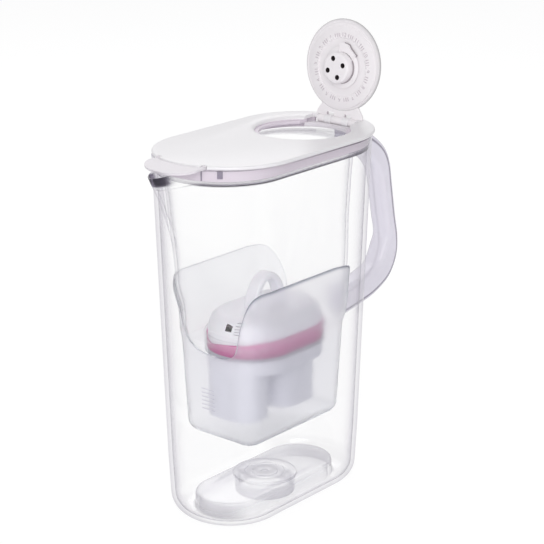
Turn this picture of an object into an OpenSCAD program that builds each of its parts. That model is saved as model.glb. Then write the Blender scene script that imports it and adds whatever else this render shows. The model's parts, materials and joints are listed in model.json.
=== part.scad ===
// Water filter pitcher: a clear jug with a moulded handle and a pouring beak, a hopper that
// hangs in it, a twin-leg cartridge in the hopper's chamber, and a lid with a flip-up refill
// cover, a date dial and a spout flap. Millimetres, +Z up, origin under the middle of the jug.

/* [Jug] */
// Height of the jug's rim
jug_h = 245; // [238:1:260]
// Length of the jug at its rim
rim_len = 170; // [166:1:180]
// Width of the jug at its rim
rim_w = 91; // [88:1:98]
// Length of the jug at its foot
foot_len = 150; // [146:1:160]
// Width of the jug at its foot
foot_w = 80; // [78:1:86]
// Thickness of the jug's wall and floor
wall = 2.8; // [2:0.1:3.2]
// Thickness of the wall above the ledge that carries the hopper
rim_wall = 1.5; // [1.2:0.1:1.8]
// Depth of that ledge below the rim
ledge_drop = 10.3; // [9.5:0.1:16]
// Radius of the rounding between the wall and the foot
base_round = 14; // [10:1:18]
// Width of the ring that the jug stands on
foot_ring_w = 5; // [3:0.5:7]
// Height of the raised island in the floor
island_h = 13; // [10:0.5:18]
// Radius of the round boss on the island
boss_r = 21.5; // [16:0.5:22]
// Height of the boss above the island
boss_rise = 1.6; // [1:0.1:3]

/* [Beak] */
// How far the pouring beak stands out at the rim
beak_len = 22; // [18:0.5:23]
// Half width of the beak
beak_half_w = 18; // [16:0.5:20]
// Height over which the beak dies out
beak_drop = 55; // [40:1:70]
// How much lower the beak's tip is than the rim
beak_dip = 3; // [2:0.5:4]

/* [Handle] */
// Width of the handle
handle_w = 16; // [12:1:22]
// Reach of the handle behind the jug's rear wall
handle_reach = 58; // [52:1:66]
// Height of the handle's lower root
handle_low_z = 107; // [98:1:116]
// Height of the lower root's section
handle_root_h = 21; // [16:1:24]
// Thickness of the grip
grip_t = 10; // [8:0.5:13]

/* [Hopper] */
// Space between the basin's sides and the jug's wall, at the top
basin_side_gap = 1.5; // [1:0.1:3]
// Space between the basin's front and the jug's wall, at the top
basin_front_gap = 5.8; // [3:0.1:8]
// Space between the basin's rear and the jug's wall, at the top
basin_rear_gap = 15.8; // [8:0.1:18]
// Thickness of the basin's wall
basin_t = 1.8; // [1.4:0.1:2.2]
// Thickness of the basin's rim flange
flange_t = 2; // [1.5:0.1:3]
// Height of the filter chamber's floor
chamber_z = 52.5; // [44:0.5:60]
// Length of the filter chamber at its top
chamber_len = 101; // [98:0.5:104]
// Width of the filter chamber at its top
chamber_w = 66.4; // [66.4:0.1:67]
// Corner radius of the filter chamber, seen from above
chamber_r = 10; // [8:0.5:12]
// Thickness of the chamber's wall
chamber_t = 1.6; // [1.2:0.1:1.8]
// Height of the chamber's shoulder, where its sides reach highest
shoulder_z = 160.5; // [152:0.5:166]
// Number of slots in the chamber's front grille
slot_n = 6; // [3:1:8]

/* [Cartridge] */
// Length of the cartridge's flange
cart_len = 87; // [80:0.5:87]
// Width of the cartridge's flange
cart_w = 59; // [54:0.5:59]
// Height of the seal's lower edge
seal_z = 110; // [108:0.5:114]
// Height of the seal band
seal_h = 11; // [8:0.5:12]
// Height of the cartridge's flange below the seal
cart_flange_h = 12; // [8:0.5:16]
// Lowest point of the cartridge's legs
leg_z = 65; // [62:0.5:80]
// Length of the front leg
front_leg_len = 28; // [22:0.5:28]
// Length of the rear leg
rear_leg_len = 38; // [34:0.5:42]
// Width of both legs
leg_w = 40; // [30:0.5:44]
// Thickness of the cartridge's shell
cart_t = 1.4; // [1:0.1:1.8]
// Height of the cartridge's dome above the seal
dome_h = 14; // [13:0.5:20]
// Rounding of the dome
dome_round = 11; // [6:0.5:12]
// Height of the pull loop above the dome
loop_h = 22; // [16:0.5:26]
// Width of the pull loop
loop_w = 13; // [8:0.5:18]

/* [Lid] */
// Thickness of the lid's cover
lid_t = 2.5; // [2:0.1:3.5]
// How far the lid stands out over the jug's rim
overhang = 2.7; // [1.5:0.1:4]
// Depth of the lid's skirt
skirt_h = 7.4; // [6:0.1:7.6]
// Thickness of the lid's skirt
skirt_t = 1.6; // [1.2:0.1:2]
// Distance between the flip cover's edge and the axis of its hinge
hinge_gap = 6.8; // [5:0.1:9]
// Radius of the flip cover
flip_r = 31; // [26:0.5:33]
// Width of the dish around the flip cover
dish_w = 4.8; // [3:0.1:6]
// Thickness of the flip cover
flip_t = 2.4; // [1.8:0.1:2.8]
// Opening angle of the flip cover
flip_open = 95.75; // [60:0.25:100]
// Width of the flip cover's neck
neck_w = 38.6; // [32:0.2:44]
// Radius of the hinge pin
pin_r = 1.5; // [1:0.1:2]

/* [Dial] */
// Radius of the dial's hub
hub_r = 10.5; // [8:0.5:12]
// Height of the hub's face below the flip cover's middle plane
hub_h = 9; // [6:0.5:12]
// Radius of the finger holes in the hub
hub_hole_r = 1.65; // [1:0.05:2]
// Angle of the dial's pointer
pointer_angle = 226; // [0:1:359]

/* [Spout flap] */
// How far the flap's tip stands beyond the lid
flap_len = 16.5; // [15:0.5:20]
// Half width of the flap
flap_half_w = 20.5; // [19:0.5:22]
// How far the closed flap slopes down to the beak, in degrees
flap_droop = 7; // [0:0.5:8]
// Thickness of the flap
flap_t = 1.4; // [1.2:0.1:1.8]

/* [Hidden] */

gap = 0.3;              // clearance between bodies
run = 0.05;             // radial clearance of a pin in its bore
arc_n = 40;             // steps of each half turn on the jug
arc_m = 7;              // steps of each corner on the smaller shells
n_round = 64;           // steps of a full circle

ledge_z = jug_h - ledge_drop;
// Half length and half width of the jug's outside at height z
function jug_a(z) = (foot_len + (rim_len - foot_len) * z / jug_h) / 2;
function jug_b(z) = (foot_w + (rim_w - foot_w) * z / jug_h) / 2;

// A stadium: two half circles of radius b joined by straight sides, half length a
function stadium(a, b, n) = concat(
    [for (i = [0:n]) let (t = -90 + 180 * i / n) [a - b + b * cos(t), b * sin(t)]],
    [for (i = [0:n]) let (t = 90 + 180 * i / n) [b - a + b * cos(t), b * sin(t)]]);
// A rectangle from x0 to x1 with half width b and corner radius r; k steps on each corner,
// m steps on each long side and e on each end
function corner(cx, cy, r, t0, k) =
    [for (i = [0:k]) let (t = t0 + 90 * i / k) [cx + r * cos(t), cy + r * sin(t)]];
function rounded(x0, x1, b, r, k, m, e) = concat(
    corner(x1 - r, r - b, r, -90, k),
    [for (i = [1:1:e - 1]) [x1, (b - r) * (2 * i / e - 1)]],
    corner(x1 - r, b - r, r, 0, k),
    [for (i = [1:1:m - 1]) [x1 - r + (x0 - x1 + 2 * r) * i / m, b]],
    corner(x0 + r, b - r, r, 90, k),
    [for (i = [1:1:e - 1]) [x0, (b - r) * (1 - 2 * i / e)]],
    corner(x0 + r, r - b, r, 180, k),
    [for (i = [1:1:m - 1]) [x0 + r + (x1 - x0 - 2 * r) * i / m, -b]]);
function at_z(outline, z) = [for (p = outline) [p.x, p.y, z]];
function clamp01(v) = max(0, min(1, v));

// Skins a list of rings with equal numbers of points: flat ends close it, or it loops back
module skin(rings, loop = false) {
    n = len(rings[0]);
    m = len(rings);
    last = loop ? m - 1 : m - 2;
    polyhedron(
        points = [for (r = rings) each r],
        faces = concat(
            loop ? [] : [[for (i = [0:n - 1]) n - 1 - i], [for (i = [0:n - 1]) (m - 1) * n + i]],
            [for (j = [0:last], i = [0:n - 1]) let (k = (j + 1) % m)
                [j * n + i, k * n + (i + 1) % n, k * n + i]],
            [for (j = [0:last], i = [0:n - 1]) let (k = (j + 1) % m)
                [j * n + i, j * n + (i + 1) % n, k * n + (i + 1) % n]]),
        convexity = 10);
}

// A flat stadium plate, made of exact arcs
module slot_shape(a, b) {
    translate([-(a - b), -b]) square([2 * (a - b), 2 * b]);
    for (s = [-1, 1]) translate([s * (a - b), 0]) circle(r = b, $fn = n_round);
}

/* Jug */
beak_z = jug_h - beak_drop;
// How far the beak pushes the wall out at side distance y and height z, on a wall inset by t
function beak_out(y, z, t) =
    let (k = clamp01((z - beak_z) / beak_drop), w = (beak_half_w - t) * min(1, sqrt(8 * k)))
    k <= 0 || abs(y) >= w ? 0 : beak_len * pow(k, 1.05) * pow(1 - pow(y / w, 2), 0.9);
function jug_ring(z, t) = [for (p = stadium(jug_a(z) - t, jug_b(z) - t, arc_n))
    [p.x - (p.x < 0 ? beak_out(p.y, z, t) : 0), p.y, z]];
// The rim itself, which dips towards the beak's tip
function rim_ring(t) = [for (p = jug_ring(jug_h, t))
    let (d = p.x < 0 ? beak_out(p.y, jug_h, t) / beak_len : 0)
    [p.x, p.y, jug_h - beak_dip * d]];
function foot_ring(z, t) = at_z(stadium(foot_len / 2 - t, foot_w / 2 - t, arc_n), z);
function disc_ring(r, z) = at_z(stadium(r, r, arc_n), z);

recess_in = base_round + foot_ring_w;     // where the recess under the jug begins
island_in = recess_in - wall;             // where the island in the floor begins
hub_low = 1.5;                            // clearance of the hub under the island
hub_t = 2.5;                              // wall of that hub
soft = 3;                                 // rounding of the island's edges

module jug_body() {
    outer_z = concat([40, 90, 140], [for (d = [55, 48, 39, 29, 19, 9]) jug_h - d]);
    inner_z = concat([ledge_z], [for (d = [19, 29, 39, 48, 55]) jug_h - d], [140, 90, 40]);
    color([0.93, 0.93, 0.97, 0.35]) skin(concat(
        [
            disc_ring(boss_r - hub_t, island_h + boss_rise - wall),
            disc_ring(boss_r - hub_t, hub_low),
            disc_ring(boss_r, hub_low),
            disc_ring(boss_r, island_h - wall),
            foot_ring(island_h - wall, recess_in + soft),
            foot_ring(island_h - wall - soft, recess_in),
            foot_ring(0, recess_in)
        ],
        [for (i = [0:5]) let (t = 90 * i / 5)
            foot_ring(base_round * (1 - cos(t)), base_round * (1 - sin(t)))],
        [for (z = outer_z) jug_ring(z, 0)],
        [rim_ring(0), rim_ring(rim_wall), jug_ring(ledge_z, rim_wall)],
        [for (z = inner_z) jug_ring(z, wall)],
        [for (i = [5:-1:0]) let (t = 90 * i / 5, r = base_round - wall)
            foot_ring(wall + r * (1 - cos(t)), wall + r * (1 - sin(t)))],
        [
            foot_ring(wall, island_in),
            foot_ring(island_h - soft, island_in),
            foot_ring(island_h - soft * 0.3, island_in + soft * 0.3),
            foot_ring(island_h, island_in + soft),
            disc_ring(boss_r, island_h),
            disc_ring(boss_r, island_h + boss_rise)
        ]));
}

/* Handle: outer and inner edges as smooth curves through a few points, swept at one width */
rear_x = jug_a(170);                       // the rear wall, halfway up the handle
root_in = 1.6;                             // how deep the roots reach into the wall
handle_out_x = rear_x + handle_reach;
top_z = jug_h - 2.2;                       // highest point of the upper root
span_z = top_z - handle_low_z;
outer_edge = [
    [jug_a(top_z) - root_in, top_z],
    [rear_x + 23, jug_h - 12.5],
    [handle_out_x - 19, jug_h - 24],
    [handle_out_x - 11.5, jug_h - 36],
    [handle_out_x - 8, handle_low_z + span_z * 0.63],
    [handle_out_x - 3.5, handle_low_z + span_z * 0.45],
    [handle_out_x, handle_low_z + 43],
    [handle_out_x - 2.5, handle_low_z + 29],
    [handle_out_x - 12, handle_low_z + 17],
    [handle_out_x - 29, handle_low_z + 9.5],
    [rear_x + 12, handle_low_z + 5],
    [jug_a(handle_low_z) - root_in, handle_low_z]
];
inner_edge = [
    [jug_a(top_z) - root_in, top_z - 22],
    [rear_x + 16, top_z - 24],
    [handle_out_x - 20 - grip_t, top_z - 31],
    [handle_out_x - 12 - grip_t, top_z - 40],
    [handle_out_x - 8 - grip_t, handle_low_z + span_z * 0.61],
    [handle_out_x - 3.5 - grip_t, handle_low_z + span_z * 0.45],
    [handle_out_x - grip_t - 0.5, handle_low_z + 48],
    [handle_out_x - grip_t - 3.5, handle_low_z + 41],
    [handle_out_x - grip_t - 11, handle_low_z + handle_root_h + 8],
    [handle_out_x - grip_t - 22, handle_low_z + handle_root_h + 4],
    [rear_x + 12, handle_low_z + handle_root_h + 1],
    [jug_a(handle_low_z + handle_root_h) - root_in, handle_low_z + handle_root_h]
];
// A point on the Catmull-Rom curve through list p at parameter u, counted in points
function curve(p, u) = let (i = min(len(p) - 2, floor(u)), t = u - i,
        a = p[max(0, i - 1)], b = p[i], c = p[i + 1], d = p[min(len(p) - 1, i + 2)])
    0.5 * (2 * b + (c - a) * t + (2 * a - 5 * b + 4 * c - d) * t * t + (3 * b - a - 3 * c + d) * t * t * t);
handle_round = 3.2;
// One section of the handle: a rounded rectangle between an outer and an inner point
function handle_section(o, i) =
    let (mid = (o + i) / 2, half = norm(o - i) / 2, dir = (o - i) / norm(o - i))
    [for (q = rounded(-half, half, handle_w / 2, handle_round, 3, 1, 1))
        [mid.x + dir.x * q.x, q.y, mid.y + dir.y * q.x]];

module jug_handle() {
    steps = 44;
    color([0.86, 0.86, 0.93, 0.5]) skin([for (k = [0:steps]) let (u = (len(outer_edge) - 1) * k / steps)
        handle_section(curve(outer_edge, u), curve(inner_edge, u))]);
}

/* Hopper */
cart_x = 0.5;                              // middle of the cartridge
cart_a = cart_len / 2;
cart_b = cart_w / 2;
throat_a = cart_a + gap;                   // the throat that the cartridge's seal fills
throat_b = cart_b + gap;
throat_t = 1.2;
throat_low = seal_z - 2;
throat_top = seal_z + seal_h;
chamber_x0 = -52;                          // front of the chamber
chamber_x1 = chamber_x0 + chamber_len;
chamber_b = chamber_w / 2;
jacket = chamber_t + gap;                  // from the basin's outside to the chamber's
floor_z = seal_z + 7;                      // underside of the basin's floor
flange_z = ledge_z;                        // the basin's flange rests on the jug's ledge
basin_x0 = wall + basin_front_gap - jug_a(flange_z);
basin_x1 = jug_a(flange_z) - wall - basin_rear_gap;
basin_b = jug_b(flange_z) - wall - basin_side_gap;
shoulder_top = shoulder_z + 8;             // above it the basin widens evenly to its flange
flare = flange_z - shoulder_top;
side_m = 6;                                // steps of a long side
end_m = 8;                                 // steps of an end

// The basin's outside by height: [height, front x, rear x, half width, corner radius]
basin_shape = [
    [floor_z, chamber_x0 + jacket, chamber_x1 - jacket, chamber_b - jacket, chamber_r],
    [floor_z + 7, chamber_x0, chamber_x1 + 1.5, chamber_b - 0.6, chamber_r + 2],
    [floor_z + 14, chamber_x0 - 1, chamber_x1 + 3.5, chamber_b + 0.4, chamber_r + 5],
    [floor_z + 21, chamber_x0 - 2.5, chamber_x1 + 5, chamber_b + 1.4, chamber_r + 8],
    [shoulder_z - 8, chamber_x0 - 7.5, chamber_x1 + 6.5, chamber_b + 3.1, 21],
    [shoulder_top, chamber_x0 - 10.5, chamber_x1 + 9.5, chamber_b + 4.1, 26],
    [shoulder_top + flare * 0.325, basin_x0 + 9, basin_x1 - 6, basin_b - 2.7, 30],
    [shoulder_top + flare * 0.7, basin_x0 + 4.5, basin_x1 - 3, basin_b - 1.4, 34],
    [flange_z, basin_x0, basin_x1, basin_b, 38]
];
function column(k) = [for (s = basin_shape) [s[0], s[k]]];
front_x = column(1);
back_x = column(2);
half_b = column(3);
corner_r = column(4);
function basin_outline(z, t) = rounded(lookup(z, front_x) + t, lookup(z, back_x) - t,
    lookup(z, half_b) - t, lookup(z, corner_r) - t, arc_m, side_m, end_m);
function basin_ring(z, t, lift = 0) = at_z(basin_outline(z, t), z + lift);
// An oval ring with as many points as the basin's outline
function oval(a, b, x) = rounded(x - a, x + a, b, b - 0.01, arc_m, side_m, end_m);
function throat_ring(t, z) = at_z(oval(throat_a + t, throat_b + t, cart_x), z);

module hopper_basin() {
    walls = [for (s = basin_shape) s[0]];
    last = len(walls) - 1;
    flange_a = jug_a(flange_z) - rim_wall - gap;
    flange_b = jug_b(flange_z) - rim_wall - gap;
    color([0.92, 0.92, 0.97, 0.35]) skin(concat(
        [throat_ring(0, throat_low), throat_ring(0, throat_top),
         throat_ring(throat_t, throat_top), throat_ring(throat_t, floor_z + basin_t)],
        [for (i = [0:last - 1]) basin_ring(walls[i], basin_t, basin_t * (1 - i / last))],
        [basin_ring(flange_z, basin_t, flange_t),
         at_z(oval(flange_a, flange_b, 0), flange_z + flange_t),
         at_z(oval(flange_a, flange_b, 0), flange_z)],
        [for (i = [last:-1:0]) basin_ring(walls[i], 0)],
        [throat_ring(throat_t, floor_z), throat_ring(throat_t, throat_low)]), loop = true);
}

/* Filter chamber: a drafted box whose sides flare up around the basin to an S-shaped edge */
edge_low = floor_z - 5;                    // lowest point of that edge, at both ends
draft = 0.04;                              // how much the box narrows per millimetre
// Height of the edge at share w of the half width: a U-shaped neckline at each end
function edge_z(w) = edge_low
    + (w < 0.01 ? 0 : (shoulder_z - edge_low) / (1 + pow(3.4 * (1 - min(w, 1)) / w, 1.9)));
function box_outline(z, t) = let (d = draft * (floor_z - z) + t)
    rounded(chamber_x0 + d, chamber_x1 - d, chamber_b - d, chamber_r + jacket - t, arc_m, side_m, end_m);
function chamber_outline(z, t) = z < floor_z ? box_outline(z, t) : basin_outline(z, t - jacket);
chamber_round = 9;
function chamber_foot(t) = [for (i = [1:5]) let (q = 90 * i / 5, r = chamber_round - t)
    at_z(box_outline(chamber_z + chamber_round, t + r * (1 - sin(q))), chamber_z + t + r * (1 - cos(q)))];
// The flared part: share v of the way from the box's top to the edge
function flare_ring(v, t) = let (base = box_outline(edge_low, 0))
    [for (i = [0:len(base) - 1]) let (w = abs(base[i].y) / chamber_b * 1.004,
        z = edge_low + (edge_z(w) - edge_low) * v, p = chamber_outline(z, t)[i])
        [p.x, p.y, z]];

module filter_chamber() {
    levels = [0, 0.1, 0.25, 0.4, 0.55, 0.7, 0.85, 1];
    color([0.83, 0.85, 0.92, 0.55]) difference() {
        skin(concat(
            chamber_foot(0),
            [for (v = levels) flare_ring(v, 0)],
            [for (i = [len(levels) - 1:-1:0]) flare_ring(levels[i], chamber_t)],
            [for (i = [4:-1:0]) chamber_foot(chamber_t)[i]]));
        for (i = [0:slot_n - 1])
            translate([chamber_x0 - 1, 2.5, 72.8 + 2.8 * i]) cube([chamber_t + 4, 11, 1.2]);
    }
}

/* Cartridge */
cart_seal_t = 3;                           // thickness of the seal
plug_a = cart_a - cart_seal_t;             // the cap's plug, which carries the seal
plug_b = cart_b - cart_seal_t;
cup_a = cart_a - 0.6;                      // the flange under the seal
cup_b = cart_b - 0.6;
leg_r = front_leg_len / 2 - 1.5;           // corner radius of the legs
rear_leg_x = -4;                           // front face of the rear leg
front_leg_x = -13;                         // rear face of the front leg
cup_z = seal_z - cart_flange_h;
screen_t = 0.8;

// A flat rectangle with rounded corners, made of exact arcs
module rounded_plate(x0, x1, b, r) {
    translate([x0 + r, -b]) square([x1 - x0 - 2 * r, 2 * b]);
    translate([x0, r - b]) square([x1 - x0, 2 * (b - r)]);
    for (x = [x0 + r, x1 - r], y = [r - b, b - r]) translate([x, y]) circle(r = r, $fn = n_round);
}
module front_leg_shape(t)
    rounded_plate(front_leg_x - front_leg_len + t, front_leg_x - t, leg_w / 2 - t, leg_r - t);
module rear_leg_shape(t)
    rounded_plate(rear_leg_x + t, rear_leg_x + rear_leg_len - t, leg_w / 2 - t, leg_r - t);
module on_cart(z, h) translate([cart_x, 0, z]) linear_extrude(height = h) children();

module cartridge_body() {
    outlet = 7;                            // margin around the outlet in each leg's floor
    color([0.9, 0.9, 0.94]) difference() {
        union() {
            on_cart(cup_z, cart_flange_h) slot_shape(cup_a, cup_b);
            translate([0, 0, leg_z]) linear_extrude(height = cup_z - leg_z) {
                front_leg_shape(0);
                rear_leg_shape(0);
            }
        }
        on_cart(cup_z + cart_t, cart_flange_h) slot_shape(cup_a - cart_t, cup_b - cart_t);
        translate([0, 0, leg_z + cart_t]) linear_extrude(height = cup_z - leg_z) {
            front_leg_shape(cart_t);
            rear_leg_shape(cart_t);
        }
        translate([0, 0, leg_z - 1]) linear_extrude(height = cart_t + 2) {
            front_leg_shape(outlet);
            rear_leg_shape(outlet);
        }
        for (x = [-19, 33], s = [-1, 1])
            translate([x - 1.5, s * cup_b - 0.8, cup_z + 2]) cube([3, 1.6, cart_flange_h - 1]);
    }
}
module outlet_screens() {
    color("lightgray") translate([0, 0, leg_z + cart_t]) linear_extrude(height = screen_t) {
        front_leg_shape(cart_t + 0.1);
        rear_leg_shape(cart_t + 0.1);
    }
}
media_z = leg_z + cart_t + screen_t;
media_t = cart_t + 0.1;                    // a slight clearance, so the pieces only touch
module media_front() {
    color("dimgray") translate([0, 0, media_z]) linear_extrude(height = cup_z - media_z)
        front_leg_shape(media_t);
}
module media_rear() {
    color("dimgray") translate([0, 0, media_z]) linear_extrude(height = cup_z - media_z)
        rear_leg_shape(media_t);
}
module inlet_screen() {
    color("lightgray") on_cart(seal_z - screen_t, screen_t) slot_shape(cup_a - media_t, cup_b - media_t);
}
module seal_ring() {
    color([0.88, 0.42, 0.66]) on_cart(seal_z, seal_h) difference() {
        slot_shape(cart_a, cart_b);
        slot_shape(plug_a, plug_b);
    }
}
dome_z = throat_top + dome_h;
dome_n = 11;
function dome_ring(t, z) = at_z(rounded(cart_x - cart_a + t, cart_x + cart_a - t, cart_b - t,
    cart_b - t - 0.01, dome_n, 1, 1), z);
// The dome's outside or, with t, its inside
function dome_rings(t) = [for (i = [0:6]) let (q = 90 * i / 6, r = dome_round - t)
    dome_ring(1 + t + r * (1 - cos(q)) + (i == 0 ? 0 : 0.6), dome_z - t - r * (1 - sin(q)))];
module cartridge_cap() {
    slit = 0.9;
    color([0.86, 0.86, 0.9, 0.8]) difference() {
        skin(concat(
            [for (i = [6:-1:0]) dome_rings(cart_t)[i]],
            [dome_ring(cart_seal_t + cart_t, throat_top),
             dome_ring(cart_seal_t + cart_t, seal_z),
             dome_ring(cart_seal_t, seal_z),
             dome_ring(cart_seal_t, throat_top),
             dome_ring(0.8, throat_top),
             dome_ring(0.8, throat_top + 3)],
            dome_rings(0)));
        translate([cart_x - cart_a, -6, throat_top + 6]) cube([10, 4.8, 4.5]);
        for (i = [0:3], s = [-1, 1])
            translate([cart_x - 9, s * (cart_b - 3) - 3, throat_top + 4 + 2.6 * i])
                cube([18, 6, slit]);
    }
}
loop_a = 17;                               // half length of the pull loop
loop_t = 5.5;
loop_sink = 5;                             // the loop's centre lies this far under the dome's top
// Half an ellipse above the dome's top, seen from the side
function arch(a, h, n) = let (t0 = asin(loop_sink / h))
    [for (i = [0:n]) let (t = t0 + (180 - 2 * t0) * i / n) [a * cos(t), h * sin(t)]];
module pull_loop() {
    h = loop_h + loop_sink;
    color([0.84, 0.84, 0.88]) translate([cart_x, loop_w / 2, dome_z - loop_sink]) rotate([90, 0, 0])
        linear_extrude(height = loop_w) polygon(concat(
            arch(loop_a, h, 28), [for (i = [28:-1:0]) arch(loop_a - loop_t, h - loop_t, 28)[i]]));
}

/* Lid */
lid_front = 1.5 - rim_len / 2;             // the lid's front edge, at the beak
lid_rear = rim_len / 2 + 1.2;
lid_a = (lid_rear - lid_front) / 2;
lid_b = rim_w / 2 + overhang;
lid_x = (lid_rear + lid_front) / 2;
lid_top = jug_h + lid_t;
// The hinge: axis along Y, low in the lid behind the refill hole
hinge_x = lid_rear - 9.4;
hinge_z = jug_h - 0.5;
hole_x = hinge_x - hinge_gap - flip_r;     // middle of the refill hole
hole_r = flip_r + 0.8;                     // the dish's bottom, around the flip cover
dish_r = hole_r + dish_w;
seat_r = flip_r - 2;                       // inner edge of the ledge that the cover closes on
flip_z = jug_h + 1;                        // middle plane of the closed flip cover
knuckle_r = 3;
lug_r = 3.4;
post_y = 4.4;                              // half width of the neck's middle knuckle
lug_y0 = post_y + gap;
lug_y1 = 10.3;
side_y0 = lug_y1 + gap;                    // the neck's outer knuckles
side_y1 = 16;
slot_x1 = hinge_x + knuckle_r + 0.5;       // rear edge of the slot for the neck
neck_x1 = hinge_x - 3.6;                   // where the full-width neck ends
neck_edge = hinge_x - 1.7;                 // edge of the lid that the neck swings past
// The flap's hinge: axis along Y inside the lid's thickness, behind its rounded front edge
flap_r = 1.05;                             // radius of the flap's knuckles
flap_lift = 0.35;                          // clearance of the flap over the jug's rim
flap_x = lid_front + 5;
flap_z = jug_h + flap_lift + flap_r;
flap_y0 = flap_half_w - 3.2;               // inner side of the knuckles
flap_pin_r = 0.6;
flap_bend = lid_front - 2.5;               // where the flap starts to slope down
nose_x = lid_x - lid_a + lid_b;            // centre of the lid's rounded front

module y_rod(x, z, r, y0, y1) translate([x, y1, z]) rotate([90, 0, 0])
    cylinder(r = r, h = y1 - y0, $fn = n_round);
module y_pair(x, z, r, y0, y1) {
    y_rod(x, z, r, y0, y1);
    y_rod(x, z, r, -y1, -y0);
}
module both_y(x0, x1, y0, y1, z0, z1) for (s = [0, 1]) mirror([0, s, 0])
    translate([x0, y0, z0]) cube([x1 - x0, y1 - y0, z1 - z0]);

module lid_cover() {
    color([0.93, 0.92, 0.93]) difference() {
        union() {
            translate([lid_x, 0, jug_h]) linear_extrude(height = lid_t) slot_shape(lid_a, lid_b);
            y_pair(hinge_x, hinge_z, lug_r, lug_y0, lug_y1);
            both_y(hinge_x, slot_x1 + 0.6, lug_y0, lug_y1, hinge_z - 2.5, lid_top);
            both_y(slot_x1, slot_x1 + 4, lug_y0, lug_y1, jug_h, lid_top);
        }
        both_y(lid_front, flap_x + flap_r + gap, flap_y0 - gap, flap_half_w + gap, jug_h - 1, lid_top + 1);
        translate([hole_x, 0, jug_h - 1]) cylinder(r = hole_r, h = lid_t + 2, $fn = 2 * n_round);
        translate([hole_x, 0, jug_h]) cylinder(r1 = hole_r, r2 = dish_r, h = lid_t, $fn = 2 * n_round);
        both_y(hole_x, neck_edge, 0, neck_w / 2 + gap, jug_h - 1, lid_top + 1);
        both_y(hole_x, slot_x1, 0, lug_y0 - 0.001, jug_h - 1, lid_top + 1);
        both_y(hole_x, slot_x1, lug_y1, side_y1 + gap, jug_h - 1, lid_top + 1);
        both_y(hole_x, hinge_x - lug_r, lug_y0 - 0.001, lug_y1, jug_h - 1, lid_top + 1);
        y_rod(hinge_x, hinge_z, pin_r, -20, 20);
        y_rod(flap_x, flap_z, flap_pin_r, 0.5 - flap_half_w, flap_half_w - 0.5);
    }
}

skirt_z = jug_h - skirt_h;
skirt_a = jug_a(skirt_z) - rim_wall - 0.5;
skirt_b = jug_b(skirt_z) - rim_wall - 0.5;
// Half length of a cross bar that ends inside the skirt's wall, for a bar that reaches to x
function bar_reach(x) = sqrt(pow(skirt_b, 2) - pow(max(0, x - skirt_a + skirt_b), 2)) - skirt_t / 2;
module lid_frame() {
    low = 2.4;                             // height of the ring under the cover
    rib = 1.6;
    color([0.8, 0.78, 0.83]) difference() {
        union() {
            translate([0, 0, skirt_z]) linear_extrude(height = skirt_h) difference() {
                slot_shape(skirt_a, skirt_b);
                slot_shape(skirt_a - skirt_t, skirt_b - skirt_t);
            }
            translate([hole_x, 0, jug_h - low]) cylinder(r = hole_r + 3, h = low, $fn = 2 * n_round);
            for (x = [hole_x - 12, hole_x + 12]) let (reach = bar_reach(x + rib))
                translate([x, -reach, jug_h - low]) cube([rib, 2 * reach, low]);
            translate([1 - skirt_a, -rib / 2, jug_h - low]) cube([skirt_a + hole_x - flip_r, rib, low]);
            for (s = [-1, 1]) translate([hole_x - 52, s * 20 - rib / 2, jug_h - low]) cube([28, rib, low]);
            translate([hole_x - 52, 1 - skirt_b, jug_h - low]) cube([rib, 2 * skirt_b - 2, low]);
        }
        translate([hole_x, 0, jug_h - low - 1]) cylinder(r = seat_r, h = low + 2, $fn = 2 * n_round);
        translate([hole_x, 0, flip_z - flip_t / 2 - gap]) cylinder(r = hole_r, h = low, $fn = 2 * n_round);
        both_y(hole_x + 10, skirt_a + 1, 0, neck_w / 2 + gap, skirt_z - 1, jug_h + 1);
    }
}
module flip_hinge_pin() { color("silver") y_rod(hinge_x, hinge_z, pin_r, -side_y1, side_y1); }
module flap_pin() { color("silver") y_rod(flap_x, flap_z, flap_pin_r, 0.5 - flap_half_w, flap_half_w - 0.5); }

/* Flip cover, drawn closed and swung open */
module swung() translate([hinge_x, 0, hinge_z]) rotate([0, flip_open, 0])
    translate([-hinge_x, 0, -hinge_z]) children();
dial_x = hole_x + 1.5;                     // middle of the dial
cover_low = flip_z - flip_t / 2;
spindle_r = 3;
cap_r = 6;
cap_t = 1.2;
module flip_cover() {
    color([0.92, 0.9, 0.91]) swung() difference() {
        union() {
            translate([hole_x, 0, cover_low]) cylinder(r = flip_r, h = flip_t, $fn = 2 * n_round);
            translate([0, 0, cover_low]) linear_extrude(height = flip_t) for (s = [0, 1]) mirror([0, s])
                polygon([[hole_x, -1], [hole_x, 12], [hole_x + 26, 12], [neck_x1 - 5, 13.5],
                    [neck_x1 - 2, neck_w / 2], [neck_x1, neck_w / 2], [neck_x1, -1]]);
            both_y(hole_x + flip_r - 10, hinge_x, -1, side_y1, cover_low, cover_low + flip_t);
            y_rod(hinge_x, hinge_z, knuckle_r, -side_y1, side_y1);
        }
        y_pair(hinge_x, hinge_z, lug_r + 1.2, post_y, side_y0);
        both_y(hinge_x, hinge_x + 10, post_y, side_y0, jug_h - 8, lid_top + 5);
        y_rod(hinge_x, hinge_z, pin_r + run, -side_y1 - 1, side_y1 + 1);
        translate([dial_x, 0, cover_low - 1]) cylinder(r = spindle_r + run, h = flip_t + 2, $fn = n_round);
        translate([dial_x, 0, cover_low + flip_t - cap_t])
            cylinder(r = cap_r + gap, h = cap_t + 1, $fn = n_round);
    }
}
ring_t = 0.5;
module number_ring() {
    color([0.9, 0.88, 0.9]) swung() translate([dial_x, 0, cover_low - ring_t]) {
        difference() {
            cylinder(r = flip_r - 3.5, h = ring_t, $fn = 2 * n_round);
            translate([0, 0, -1]) cylinder(r = hub_r + 9, h = ring_t + 2, $fn = 2 * n_round);
        }
        for (i = [0:11]) rotate(30 * i + 15) translate([hub_r + 11, -0.4, -0.3]) cube([4, 0.8, 0.3]);
    }
}
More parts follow.
